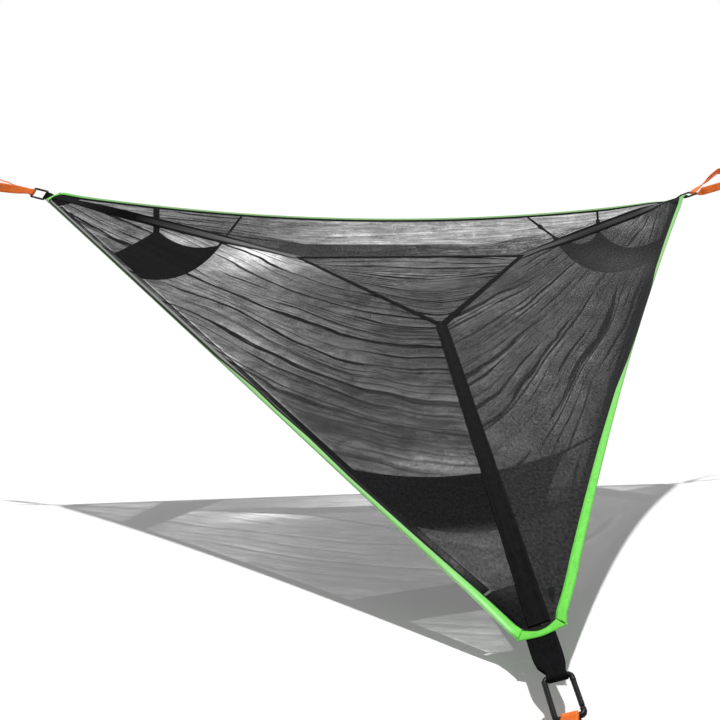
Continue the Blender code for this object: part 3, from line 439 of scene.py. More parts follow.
def add(mesh, paint, stands_for, body=ROOT):
    """A piece with its mesh's name, which takes the place of one solid."""
    mesh.materials.append(paint)
    mesh.shade_smooth()
    piece = bpy.data.objects.new(mesh.name, mesh)
    bpy.context.scene.collection.objects.link(piece)
    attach(piece, body)
    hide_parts(stands_for)
    return piece


def spans(grid):
    """The greatest width and length of a surface, measured over its grid of points."""
    grid = np.asarray(grid, float)
    length = np.linalg.norm(np.diff(grid, axis=0), axis=2).sum(axis=0).max()
    width = np.linalg.norm(np.diff(grid, axis=1), axis=2).sum(axis=1).max()
    return width, length


def thicken(piece, thickness):
    modifier = piece.modifiers.new("thickness", "SOLIDIFY")
    modifier.thickness = thickness
    modifier.offset = 0.0
    modifier.use_even_offset = False
    return piece


def soften(piece, width, segments):
    edges = piece.modifiers.new("edges", "BEVEL")
    edges.width = width
    edges.segments = segments
    edges.limit_method = "ANGLE"
    return piece


def set_vector(mesh, name, values):
    layer = mesh.attributes.new(name, "FLOAT_VECTOR", "POINT")
    layer.data.foreach_set("vector", np.asarray(values, np.float32).reshape(-1))


def set_value(mesh, name, values):
    layer = mesh.attributes.new(name, "FLOAT", "POINT")
    layer.data.foreach_set("value", np.asarray(values, np.float32).reshape(-1))


def rise(steps, start, run):
    """0 up to the start, and from there up to 1 over the run."""
    return np.clip((steps - start) / run, 0.0, 1.0)


def along_band(grid, stops, k=1):
    """Column k of the stops for each point of a grid, by the share of the way along it."""
    share = np.linspace(0.0, 1.0, grid.shape[0])
    values = np.interp(share, [stop[0] for stop in stops], [stop[k] for stop in stops])
    return np.repeat(values[:, None], grid.shape[1], axis=1)


# Materials


class Nodes:
    """A small builder of shader nodes, for a material or the world."""

    def __init__(self, owner, output="ShaderNodeOutputMaterial"):
        self.owner = owner
        owner.use_nodes = True
        self.tree = owner.node_tree
        self.tree.nodes.clear()
        self.output = self.tree.nodes.new(output)

    def node(self, kind, *values):
        """A new node, given (input, value) pairs of numbers, tuples and other nodes' outputs."""
        node = self.tree.nodes.new(kind)
        for name, value in values:
            socket = node.inputs[name]
            if isinstance(value, bpy.types.NodeSocket):
                self.tree.links.new(value, socket)
            elif isinstance(value, tuple) and len(value) < len(socket.default_value):
                socket.default_value = (*value, 1.0)
            else:
                socket.default_value = value
        return node

    def math(self, operation, *values, clamp=False):
        node = self.node("ShaderNodeMath", *enumerate(values))
        node.operation = operation
        node.use_clamp = clamp
        return node.outputs[0]

    def plus(self, a, b):
        return self.math("ADD", a, b)

    def minus(self, a, b):
        return self.math("SUBTRACT", a, b)

    def product(self, *values):
        result = values[0]
        for value in values[1:]:
            result = self.math("MULTIPLY", result, value)
        return result

    def spread(self, value, low, high, first=0.0, last=1.0):
        """A value from low to high, mapped to first to last and held there beyond."""
        ends = (("From Min", low), ("From Max", high), ("To Min", first), ("To Max", last))
        return self.node("ShaderNodeMapRange", ("Value", value), *ends).outputs[0]

    def mix(self, share, a, b, blend="MIX"):
        node = self.node("ShaderNodeMix", (0, share), (6, a), (7, b))
        node.data_type = "RGBA"
        node.blend_type = blend
        return node.outputs[2]

    def coords(self):
        return self.node("ShaderNodeTexCoord").outputs["Object"]

    def attribute(self, name, output="Fac"):
        node = self.node("ShaderNodeAttribute")
        node.attribute_name = name
        return node.outputs[output]

    def scaled(self, vector, scale):
        node = self.node("ShaderNodeVectorMath", (0, vector), (1, scale))
        node.operation = "MULTIPLY"
        return node.outputs[0]

    def noise(self, vector, scale, detail, roughness, distortion=0.0):
        """Noise from 0 to 1, with one scale or with one for each axis."""
        if isinstance(scale, tuple):
            vector, scale = self.scaled(vector, scale), 1.0
        form = (("Detail", detail), ("Roughness", roughness), ("Distortion", distortion))
        return self.node("ShaderNodeTexNoise", ("Vector", vector), ("Scale", scale), *form).outputs[0]

    def split(self, vector):
        return self.node("ShaderNodeSeparateXYZ", (0, vector)).outputs

    def bump(self, height, distance, strength):
        values = (("Strength", strength), ("Distance", distance), ("Height", height))
        return self.node("ShaderNodeBump", *values).outputs[0]

    def surface(self, color, roughness, metallic=0.0, normal=None, specular=0.5):
        values = [("Base Color", color), ("Roughness", roughness), ("Metallic", metallic)]
        values.append(("Specular IOR Level", specular))
        if normal is not None:
            values.append(("Normal", normal))
        return self.node("ShaderNodeBsdfPrincipled", *values).outputs[0]

    def done(self, shader):
        self.tree.links.new(shader, self.output.inputs["Surface"])
        return self.owner


def material(name):
    return Nodes(bpy.data.materials.new(name))


def threads(n, place, pitch, share):
    """1 on a thread and 0 in a hole, of a square net whose threads fill this share of the pitch."""
    x, y, _ = n.split(n.scaled(place, (1.0 / pitch, 1.0 / pitch, 1.0)))
    start = n.minus(0.5, n.product(share, 0.5))
    lines = []
    for axis in (x, y):
        off = n.math("ABSOLUTE", n.minus(n.math("FRACT", axis), 0.5))
        lines.append(n.math("GREATER_THAN", off, start))
    return n.math("MAXIMUM", *lines)


def creases(n, flow, pitch, half, wander, keep):
    """Creases along the flow, this far apart in metres: (dark line, painted highlight on one side), 0 off
    them.
    """
    along, cross, panel = n.split(flow)
    slow = n.minus(n.noise(flow, (0.8, 1.8, 1.0), 1.0, 0.5), 0.5)
    quick = n.minus(n.noise(flow, (5.0, 9.0, 1.0), 2.0, 0.5), 0.5)
    drift = n.plus(n.product(slow, wander), n.product(quick, 0.35))
    place = n.plus(n.math("DIVIDE", cross, pitch), drift)
    off = n.minus(n.math("FRACT", place), 0.5)
    which = n.product(n.math("FLOOR", place), 0.731)
    seed = n.node("ShaderNodeCombineXYZ", (0, which), (1, n.product(along, 1.4)), (2, panel))
    strength = n.spread(n.noise(seed.outputs[0], 1.0, 2.0, 0.6), keep, keep + 0.14)
    thinner = n.product(n.minus(1.0, strength), half / pitch)
    reach = n.plus(n.math("ABSOLUTE", off), thinner)
    line = n.spread(reach, half * 0.4 / pitch, half / pitch, 1.0, 0.0)
    lit_flank = n.product(n.spread(off, half / pitch, 0.42, 1.0, 0.0), n.math("GREATER_THAN", off, 0.0))
    return line, n.product(lit_flank, strength)


# The creases of the nets: how far apart, half their width, wander, how few, how dark (double layers of net
# and painted crease shade), how much painted highlight beside
CREASES = (
    (0.150, 0.0115, 2.2, 0.38, 0.98, 0.34),
    (0.070, 0.0078, 4.5, 0.42, 0.90, 0.26),
    (0.031, 0.0046, 10.0, 0.42, 0.66, 0.16),
)
MOST_OPEN = 0.92


def net_openness(n):
    """How much of the net is holes: its own share, less along creases, as double layers of net and painted
    crease shade, and more beside them, as a painted highlight.
    """
    flow = n.attribute("flow", "Vector")
    creased = n.attribute("creased")
    grain = n.noise(n.attribute("weft", "Vector"), 1.0, 2.0, 0.7)
    combed = n.noise(flow, (7.0, 60.0, 1.0), 4.0, 0.65)
    clouds = n.noise(flow, (4.5, 9.0, 1.0), 5.0, 0.70, 0.8)
    blotches = n.noise(n.coords(), 11.0, 4.0, 0.72, 1.2)
    tone = n.product(
        n.attribute("openness"),
        n.spread(blotches, 0.34, 0.66, 0.72, 1.30),
        n.spread(grain, 0.25, 0.75, 0.58, 1.42),
        n.spread(combed, 0.30, 0.70, 0.72, 1.28),
        n.spread(clouds, 0.32, 0.68, 0.58, 1.42),
    )
    for pitch, half, wander, keep, depth, lift in CREASES:
        line, lit_flank = creases(n, flow, pitch, half, wander, keep)
        # Each crease closes the net up along its line, partly double layers of net and partly painted
        # crease shade, and opens it on one side as a painted highlight
        darker = n.math("SUBTRACT", 1.0, n.product(line, creased, depth), clamp=True)
        flank_highlight = n.spread(lit_flank, 0.0, 1.0, 1.0 - lift / 3, 1.0 + lift)
        tone = n.product(tone, darker, flank_highlight)
    return n.math("MINIMUM", tone, MOST_OPEN), grain


NET_PITCH = 0.0022
SHARP_WEAVE = 0.35  # the share of the weave that is drawn thread by thread
DARK_THREAD = ((0.004, 0.004, 0.0044), (0.009, 0.009, 0.010))
PALE_THREAD = ((0.050, 0.050, 0.052), (0.160, 0.160, 0.163))


def net_paint():
    """Black netting: a see-through weave that closes up along its creases, with painted crease shade, a
    painted highlight beside each crease and painted light in its paler threads.
    """
    n = material("net")
    open_share, grain = net_openness(n)
    weave = threads(n, n.coords(), NET_PITCH, n.minus(1.0, n.math("SQRT", open_share)))
    even = n.product(n.minus(1.0, open_share), 1.0 - SHARP_WEAVE)
    weave = n.plus(n.product(weave, SHARP_WEAVE), even)
    grain = n.spread(grain, 0.3, 0.7)
    # Paler threads where the attribute is raised: their own tone, and painted light and sheen
    color = n.mix(n.attribute("pale_and_lit"), n.mix(grain, *DARK_THREAD), n.mix(grain, *PALE_THREAD))
    solid = n.surface(color, 0.85, specular=0.0)
    clear = n.node("ShaderNodeBsdfTransparent").outputs[0]
    return n.done(n.node("ShaderNodeMixShader", (0, weave), (1, clear), (2, solid)).outputs[0])


STITCH_PITCH = 0.0034
STITCH_INSET = 0.0030


def stitches(n, along, edge):
    """1 on the stitches of a row just inside a band's edge."""
    near = n.spread(n.math("ABSOLUTE", n.minus(edge, STITCH_INSET)), 0.0003, 0.0007, 1.0, 0.0)
    step = n.math("FRACT", n.math("DIVIDE", along, STITCH_PITCH))
    return n.product(near, n.math("LESS_THAN", step, 0.68))


# Radians for each metre: of the twill, along and across, and of the ribs, along
TWILL_WAVE, RIB_WAVE = 2600.0, 1500.0


def webbing_paint(name, dark, light, thread, gloss, wear=None, rim=(0.008, 0.013)):
    """Woven webbing: a fine twill, ribs along its edges and a row of stitches inside each edge, with
    painted shade in the weave's hollows.
    """
    n = material(name)
    run = n.attribute("run", "Vector")
    along, side, edge = n.split(run)
    x, y = n.product(along, TWILL_WAVE), n.product(side, TWILL_WAVE)
    twill = n.product(n.math("SINE", n.plus(x, y)), n.math("SINE", n.minus(x, y)))
    ribs = n.math("SINE", n.product(along, RIB_WAVE))
    weave = n.plus(n.product(twill, 0.6), n.product(ribs, 0.4))
    dust = n.noise(run, (45.0, 130.0, 1.0), 4.0, 0.65)
    worn = n.noise(run, (9.0, 60.0, 1.0), 3.0, 0.6)
    color = n.mix(n.spread(dust, 0.3, 0.7), dark, light)
    worn = n.product(n.spread(worn, 0.42, 0.7, 0.0, 0.6), n.spread(edge, 0.0, 0.005, 1.0, 0.25))
    color = n.mix(worn, color, light)
    # Painted shade in the weave's hollows: darker where the weave's bump is low
    color = n.mix(n.spread(weave, -1.0, 1.0, 0.22, 0.0), color, dark)
    streaks = n.spread(n.noise(run, (2.5, 420.0, 1.0), 3.0, 0.6), 0.35, 0.65, 0.4, 1.5)
    # Lighter grey added by the shade attribute, in streaks, fading towards the band's edges
    greyed = n.product(streaks, n.attribute("shade"), n.spread(edge, *rim, 0.10, 1.0))
    color = n.mix(1.0, color, greyed, "ADD")
    sewn = stitches(n, along, edge)
    color = n.mix(n.product(sewn, 0.7), color, thread)
    if wear:
        color = wear(n, color, side)
    height = n.minus(weave, n.product(sewn, 2.0))
    return n.done(n.surface(color, 0.66, normal=n.bump(height, 0.0003, 0.6), specular=gloss))


FADED_GREEN = (0.33, 0.64, 0.26)
DULL_GREEN = (0.19, 0.25, 0.14)
LIP_SHADE = (0.006, 0.007, 0.006)
LINING = (0.004, 0.004, 0.004)


def hem_wear(n, color, side):
    """The binding faded, dull inside the bead, with a painted thin shadow along its lip's edge, and dark
    where its lip is folded under.
    """
    faded, dull, inner = n.split(n.attribute("wear", "Vector"))
    color = n.mix(faded, color, FADED_GREEN)
    color = n.mix(n.product(dull, n.spread(side, 0.015, 0.021, 1.0, 0.35)), color, DULL_GREEN)
    past = n.minus(side, n.product(inner, 0.022))
    # A painted thin shadow along the lip's edge, widening to a dark band where the lip is folded under
    color = n.mix(n.spread(past, -0.0008, 0.0008, 1.0, 0.0), color, LIP_SHADE)
    lining = n.mix(n.attribute("shade"), LINING, (1.0, 1.0, 1.0))
    return n.mix(n.spread(past, -0.0085, -0.0065, 1.0, 0.0), color, lining)


def simple_paint(name, dark, light, roughness, metallic=0.0, scale=900.0, gloss=0.5):
    """A smooth finish with a fine grain and broad, soft changes of shade."""
    n = material(name)
    place = n.coords()
    grain = n.noise(place, scale, 4.0, 0.6)
    broad = n.noise(place, scale / 20.0, 3.0, 0.5)
    color = n.mix(n.spread(broad, 0.35, 0.65), dark, light)
    rough = n.product(n.spread(grain, 0.2, 0.8, 0.85, 1.15), roughness)
    return n.done(n.surface(color, rough, metallic, n.bump(grain, 0.0001, 0.5), gloss))


CLOTH_WAVE = 3900.0
# The cloth's dark and light tones: random mottling, and painted shading of its soft creases
CLOTH_DARK, CLOTH_LIGHT = (0.006, 0.006, 0.0066), (0.024, 0.024, 0.025)
# Painted shade in the weave's hollows
CLOTH_HOLLOW_SHADE = (0.004, 0.004, 0.004)


def cloth_paint():
    """Thin black pocket cloth: a plain weave with soft creases that run along it, with painted shading on
    the creases, brighter on their ridges and darker in their hollows, and painted shade in the weave's
    hollows.
    """
    n = material("cloth")
    place = n.coords()
    x, y, _ = n.split(place)
    x, y = n.math("SINE", n.product(x, CLOTH_WAVE)), n.math("SINE", n.product(y, CLOTH_WAVE))
    weave = n.product(x, y)
    soft = n.noise(place, (14.0, 38.0, 20.0), 4.0, 0.62, 0.8)
    fine = n.noise(place, (60.0, 150.0, 90.0), 3.0, 0.6)
    # Painted shading of the soft creases: brighter where their bump rises, darker where it falls
    color = n.mix(n.spread(soft, 0.34, 0.66), CLOTH_DARK, CLOTH_LIGHT)
    color = n.mix(n.spread(fine, 0.3, 0.7, 0.35, 0.0), color, CLOTH_DARK)
    # Painted shade in the weave's hollows
    color = n.mix(n.spread(weave, -1.0, 1.0, 0.15, 0.0), color, CLOTH_HOLLOW_SHADE)
    height = n.plus(n.product(soft, 8.0), n.product(weave, 0.1))
    return n.done(n.surface(color, 0.7, normal=n.bump(height, 0.002, 0.5), specular=0.03))


# Pieces


def woven(name, grid):
    """A mesh with metres along and across it, and in from its nearest edge, for its weave."""
    along, side = np.zeros(grid.shape[:2]), np.zeros(grid.shape[:2])
    along[1:] = np.cumsum(np.linalg.norm(np.diff(grid, axis=0), axis=2), axis=0)
    along = np.repeat(along.mean(axis=1, keepdims=True), grid.shape[1], axis=1)
    side[:, 1:] = np.cumsum(np.linalg.norm(np.diff(grid, axis=1), axis=2), axis=1)
    mesh = grid_mesh(name, grid)
    set_vector(mesh, "run", np.stack([along, side, np.minimum(side, side[:, -1:] - side)], axis=-1))
    return mesh


# How open each net hangs
OPEN_SHARE = {"rear": 0.43, "left": 0.088, "right": 0.066, "hatch": 0.13}
# How light-toned each net's threads are; the right net's much paler tone is painted light on that side
THREAD_TONE = {"rear": 0.094, "left": 0.081, "right": 0.25, "hatch": 0.067}
# How much paler painted light makes them over the front pocket, and where along -y that sets in and fades:
# start, run
PAINTED_LIGHT_FRONT, FRONT_SETS_IN, FRONT_FADES = 0.36, (1.325, 0.03), (1.460, 0.09)
# How much paler a painted sheen makes them by the right pocket, and its place: x, y, reach
PAINTED_SHEEN_RIGHT, PAINTED_SHEEN_PLACE = 0.30, (0.88, 0.16, 0.10)
# Where each net is drawn tight (times above 1) or bunched (below 1): x, y, reach, times
DRAWN = {
    "rear": (
        (-0.66, 0.60, 0.26, 0.36), (-1.12, 0.70, 0.16, 0.98), (1.20, 0.73, 0.12, 1.05),
        (0.15, 0.60, 0.30, 1.12),
    ),
    "left": (
        (-0.54, 0.28, 0.12, 9.5), (-0.81, 0.43, 0.07, 2.4), (-0.30, 0.18, 0.11, 3.4),
        (-0.70, 0.02, 0.17, 2.1), (-1.15, 0.52, 0.22, 2.6), (-0.46, -0.22, 0.22, 1.6),
        (-0.55, -0.55, 0.16, 1.7), (-0.40, -0.95, 0.18, 0.75), (-0.12, -1.42, 0.17, 2.7),
        (-0.05, -1.12, 0.07, 1.5), (-0.86, 0.33, 0.10, 2.0), (-0.75, -0.30, 0.18, 1.5),
    ),
    "right": (
        (1.08, 0.54, 0.09, 2.9), (0.27, -0.20, 0.13, 1.5), (0.62, 0.10, 0.14, 1.35),
        (0.88, 0.02, 0.14, 0.72), (0.10, -1.32, 0.16, 0.55), (0.40, -0.60, 0.16, 1.3),
    ),
    "hatch": ((0.05, 0.26, 0.20, 1.55), (0.12, -0.12, 0.16, 0.70)),
}


def bump_at(x, y, at_x, at_y, reach):
    return np.exp(-((x - at_x) ** 2 + (y - at_y) ** 2) / (2.0 * reach**2))


def pale_and_lit_of(panel, points):
    """How light-toned the threads look: the panel's own tone, painted light over the whole right net, more
    painted light over the front pocket and a painted sheen by the right pocket.
    """
    x, y = points[..., 0], points[..., 1]
    tone = np.full(x.shape, THREAD_TONE[panel])
    # Painted light over the front pocket, and a painted sheen by the right pocket
    if panel == "left":
        tone = tone + PAINTED_LIGHT_FRONT * (rise(-y, *FRONT_SETS_IN) - rise(-y, *FRONT_FADES))
    if panel == "right":
        tone = tone + PAINTED_SHEEN_RIGHT * bump_at(x, y, *PAINTED_SHEEN_PLACE)
    return tone


def openness_of(panel, points):
    x, y = points[..., 0], points[..., 1]
    level = np.full_like(x, math.log(OPEN_SHARE[panel]))
    for *place, times in DRAWN[panel]:
        level += math.log(times) * bump_at(x, y, *place)
    return np.exp(level)


# The soft folds of a net: height, how many along and across in a metre, and a start of their own
WRINKLES = ((0.0032, 1.1, 15.0, 0.0), (0.0014, 3.0, 41.0, 1.7))


def wrinkle(points, flow, fade):
    """Raises points by soft folds that run along the flow."""
    lifted = points.copy()
    for index in np.ndindex(*points.shape[:2]):
        a, c, p = flow[index]
        for height, along, cross, start in WRINKLES:
            lifted[index][2] += height * noise.noise((a * along, c * cross, p + start)) * fade[index]
    return lifted


# A start of its own for the noise of each panel
PANEL_START = {"left": 0.0, "right": 3.0, "rear": 6.0, "hatch": 9.0}
PARABOLA_END = -0.55  # the left net's folds follow a parabola from the right up to this x
FAN_CENTRE, FAN_RADIUS = (1.55, 1.15), 1.1  # the right net's folds fan out from this place
HATCH_FOLD_MIDDLE = 0.1  # the hatch net's folds draw together to both sides of this x


def flow_of(panel, points):
    """Metres along and across the panel's folds, for points of the plan."""
    x, y = points[..., 0], points[..., 1]
    if panel == "left":
        near = np.maximum(x, PARABOLA_END)
        cross = (y + 0.3 * near - 0.65 * near**2 + 0.92 * (x - near)) * 0.8
        along = 0.75 * x - 0.66 * y
    elif panel == "right":
        dx, dy = FAN_CENTRE[0] - x, FAN_CENTRE[1] - y
        cross = np.arctan2(dy, dx) * FAN_RADIUS
        along = np.hypot(dx, dy)
    elif panel == "rear":
        cross = y + 0.05 * x**2
        along = x
    else:
        off = (x - HATCH_FOLD_MIDDLE) ** 2
        cross = y * (1 + 6 * off) - 1.1 * off
        along = x
    return np.stack([along, cross, np.full_like(x, PANEL_START[panel])], -1)


# How closely the creases of each panel lie, against those of the left one, and how dark they are
CLOSENESS = {"left": 1.0, "right": 2.2, "rear": 0.9, "hatch": 1.35}
CREASED = {"left": 1.05, "right": 1.35, "rear": 0.30, "hatch": 1.35}
# How much darker the rear net's creases get to the left, and fainter the left one's to the front
REAR_GAIN, LEFT_LOSS = 0.95, 0.55
# How fine the streaky grain of each panel is, for each metre along x, y and z
WEFT = {
    "left": (230.0, 105.0, 1.0),
    "right": (150.0, 105.0, 1.0),
    "rear": (165.0, 42.0, 1.0),
    "hatch": (190.0, 90.0, 1.0),
}


def set_flow(mesh, panel, flow, points, openness, pale_and_lit):
    """What the net's paint reads: the folds' run, the weft, how creased and open it is, and how light-toned
    its threads are, painted light included.
    """
    set_vector(mesh, "flow", flow * np.array([1.0, CLOSENESS[panel], 1.0]))
    set_vector(mesh, "weft", points * np.array(WEFT[panel]))
    share = np.full(points.shape[:-1], CREASED[panel])
    if panel == "rear":
        share = share + REAR_GAIN * rise(-flow[..., 0], 0.40, 0.2)
    if panel == "left":
        share = share - LEFT_LOSS * rise(-points[..., 1], 0.55, 0.4)
    for name, values in (("creased", share), ("openness", openness), ("pale_and_lit", pale_and_lit)):
        set_value(mesh, name, values)


# How bunched each net is near its hem, and right beside it: shares of its holes that close
BUNCHED = {"rear": (0.15, 0.85), "left": (0.0, 0.10), "right": (0.40, 0.70)}
BUNCHED_REACH = (0.085, 0.036)
# The shade of a fully greyed edge band, how open the net over it looks, and how far in from the hem
FULL_GREY, OVER_GREY, GREY_REACH = 0.22, 0.72, 0.027
# Points of the net from each side, and from each end, that stay flat, and over which its folds rise
FLAT_HEM, FLAT_SEAM, FLAT_END = (20, 24), (18, 24), (20, 30)


def make_net(edge, paint):
    coarse = [net_rows(edge, i) for i in range(STATIONS + 1)]
    grid = refine(coarse, 10, (1, STRAP_STEPS, STATIONS - STRAP_STEPS, STATIONS - 1))
    grid = across(grid, 8, (1, 2, NET_ROWS - 1))
    rows, columns = (np.arange(size) for size in grid.shape[:2])
    flow = flow_of(edge, grid)
    from_sides = rise(columns, *FLAT_HEM) * rise(len(columns) - columns, *FLAT_SEAM)
    from_ends = rise(np.minimum(rows, rows[::-1]), *FLAT_END)
    under = FLAP_REACH if edge == "rear" else 1.0
    fade = from_ends[:, None] * (from_sides * (columns < len(columns) * under))[None, :]
    grid = wrinkle(grid, flow, fade)
    mesh = grid_mesh(edge + "_net", grid)
    openness = openness_of(edge, grid)
    depth = np.linalg.norm(grid - grid[:, :1], axis=2)
    for closed, reach, steepness in zip(BUNCHED[edge], BUNCHED_REACH, (2, 4)):
        openness = openness * (1.0 - closed * np.exp(-((depth / reach) ** steepness)))
    greyed = np.clip(along_band(grid, EDGE_GREY[edge]) / FULL_GREY, 0.0, 1.0)
    openness = openness + (OVER_GREY - openness) * np.exp(-((depth / GREY_REACH) ** 6)) * greyed
    set_flow(mesh, edge, flow, grid, openness, pale_and_lit_of(edge, grid))
    return add(mesh, paint, edge + "_net_panel"), spans(grid)


HATCH_NET_STEPS = 54


def make_hatch_net(paint):
    names = list(CORNER_ANGLE)
    points = [np.array(outer_mitre(name, -SEAM)) for name in names]
    centre = sum((np.array(junction(name)) for name in names)) / 3.0
    n = HATCH_NET_STEPS
    number, order = {}, []
    for a in range(n + 1):
        for b in range(n + 1 - a):
            c = n - a - b
            place = (points[0] * a + points[1] * b + points[2] * c) / n
            nearness = min(a, b, c) / n * 3.0
            folds = FOLD_DEPTH * nearness * math.sin(2.0 * math.pi * FOLDS * c / n)
            place[2] = centre[2] - 1.6 * NET_BELLY * nearness - 0.5 * folds
            number[a, b] = len(order)
            order.append(place)
    faces = []
    for a in range(n):
        for b in range(n - a):
            faces.append((number[a, b], number[a + 1, b], number[a, b + 1]))
            if a + b < n - 1:
                faces.append((number[a + 1, b], number[a + 1, b + 1], number[a, b + 1]))
    order = np.array(order)
    mesh = bpy.data.meshes.new("hatch_net")
    mesh.from_pydata(order.tolist(), [], faces)
    pale_and_lit = np.full(len(order), THREAD_TONE["hatch"])
    set_flow(mesh, "hatch", flow_of("hatch", order), order, openness_of("hatch", order), pale_and_lit)
    length = max(np.linalg.norm(points[k] - points[k - 1]) for k in range(3))
    area = sum(face.area for face in mesh.polygons)
    return add(mesh, paint, "hatch_net_panel"), (2.0 * area / length, length)


# How open the flap looks: metres past the hatch's left corner, share, and the same past its right one
FLAP_OPEN_LEFT = ((-0.14, 0.50), (-0.05, 0.15), (0.02, 0.09), (0.35, 0.13))
FLAP_OPEN_RIGHT = ((-0.25, 0.24), (0.0, 0.32), (0.20, 0.60))
FLAP_PALE = 0.3
FLAP_TAPER = 0.92  # of its width, out to its ends
FLAP_GAP = 0.0015
FLAP_START = (0.3, 0.11, 3.3)  # the flap's own place in the noise of the rear panel


def make_flap(paint):
    reach = STRAP_STEPS // 2
    first, last = STRAP_STEPS - reach, STATIONS - STRAP_STEPS + reach
    grid = []
    for i in range(first, last + 1):
        rows = net_rows("rear", i)
        taped, beside = rows[2], rows[-2]
        out = (taped - beside).normalized()
        past = max(0, STRAP_STEPS - i, i - (STATIONS - STRAP_STEPS))
        width = FLAP_WIDTH * (1.0 - FLAP_TAPER * smooth(past / reach))
        grid.append([beside + out * (FLAP_GAP + width * k / 3.0) + UP * FLAP_HEIGHT for k in range(4)])
    grid = across(refine(grid, 6, (reach, reach + HATCH_STEPS)), 16)
    mesh = grid_mesh("hatch_cloth", grid)
    left, right = junction("left").x, junction("right").x
    stops = [(left + x, share) for x, share in FLAP_OPEN_LEFT]
    stops += [(right + x, share) for x, share in FLAP_OPEN_RIGHT]
    openness = np.interp(grid[..., 0], *zip(*stops))
    openness = openness * (0.75 + 0.5 * np.linspace(0.0, 1.0, grid.shape[1]))[None, :]
    flow = flow_of("rear", grid) + np.array(FLAP_START)
    set_flow(mesh, "rear", flow, grid, openness, np.full(openness.shape, FLAP_PALE))
    return add(mesh, paint, "hatch_flap"), spans(grid)


def band(name, grid, thickness, paint, stands_for):
    piece = thicken(add(woven(name, grid), paint, stands_for), thickness)
    return soften(piece, thickness * 0.35, 2)


def strap_start(corner, side, height):
    first, second = strap_frame(corner, 0), strap_frame(corner, 1)
    run = FIRST_STRAP_STEP - NET_TUCK
    share = (BINDING_WIDTH + GAP - NET_TUCK) / run
    ends = [f[0] + f[1] * side * STRAP_WIDTH / 2 + f[2] * height for f in (first, second)]
    return ends[0].lerp(ends[1], share)


# How much lighter grey each strap gets: share of the way from its corner, shade
STRAP_SHADE = {
    "right": ((0.02, 0.0), (0.12, 0.085)),
    "left": ((0.42, 0.0), (0.67, 0.17)),
    "front": ((0.0, 0.002),),
}


def make_strap(corner, paint):
    sides = (-1.0, 0.0, 1.0)
    grid = [[strap_start(corner, side, STRAP_HEIGHT) for side in sides]]
    for step in range(1, STRAP_STEPS):
        middle, sideways, up = strap_frame(corner, step)
        half = sideways * STRAP_WIDTH / 2
        grid.append([middle + half * side + up * STRAP_HEIGHT for side in sides])
    here, out = junction(corner), strap_direction(corner)
    end = []
    for side in (-1.0, 1.0):
        onward, outside = hatch_side(corner, side)
        line = here + outside * (HATCH_WEBBING_WIDTH / 2 + GAP)
        end.append(meet(here + UP.cross(out) * side * STRAP_WIDTH / 2, out, line, onward))
    tip = outer_mitre(corner, HATCH_WEBBING_WIDTH / 2 + GAP)
    tip.z += strap_rise(corner, tip)
    end.insert(1, tip)
    grid.append([place + UP * STRAP_HEIGHT for place in end])
    fine = across(refine(grid, 8, (1, STRAP_STEPS - 1)), 3, (1,))
    piece = band(corner + "_strap", fine, STRAP_THICKNESS, paint, corner + "_corner_strap")
    set_value(piece.data, "shade", along_band(fine, STRAP_SHADE[corner]))
    return piece


FRONT_BAND_HALF = 0.0125  # the hatch webbings are wider towards the front


def make_hatch_band(first, second, name, paint):
    along = (junction(second) - junction(first)).normalized()
    rows = []
    for corner, pull in ((first, GAP), (second, -GAP)):
        half = HATCH_WEBBING_WIDTH / 2 if corner != "front" else FRONT_BAND_HALF
        row = []
        for offset in (half, -half):
            place = outer_mitre(corner, offset) + along * pull
            place.z += strap_rise(corner, place)
            row.append(place + UP * HATCH_WEBBING_HEIGHT)
        rows.append(row)
    grid = across(refine(rows, 30), 6)
    return band(name + "_band", grid, HATCH_WEBBING_THICKNESS, paint, name)


def make_edge_band(edge, paint):
    insets = (TAPE_START, LIP_ROW, TAPE_END)
    grid = [[edge_point(edge, i, x, TAPE_HEIGHT) for x in insets] for i in range(2, STATIONS - 1)]
    fine = across(refine(grid, 8), 2, (1,))
    piece = band(edge + "_edge_band", fine, TAPE_THICKNESS, paint, edge + "_edge_webbing")
    set_value(piece.data, "shade", along_band(fine, EDGE_GREY[edge]))
    return piece


def hem_section(under):
    """The binding's middle line, from its top lip round the bead to its lower lip."""
    points = [(BINDING_WIDTH, LIP_TOP)]
    for degrees in (60.0, 120.0, 180.0, 240.0, 300.0):
        angle = math.radians(degrees)
        x = BEAD_INSET + BEAD_RADIUS * math.cos(angle)
        points.append((x, BEAD_RADIUS * math.sin(angle)))
    return [*points, (BINDING_WIDTH, under)]


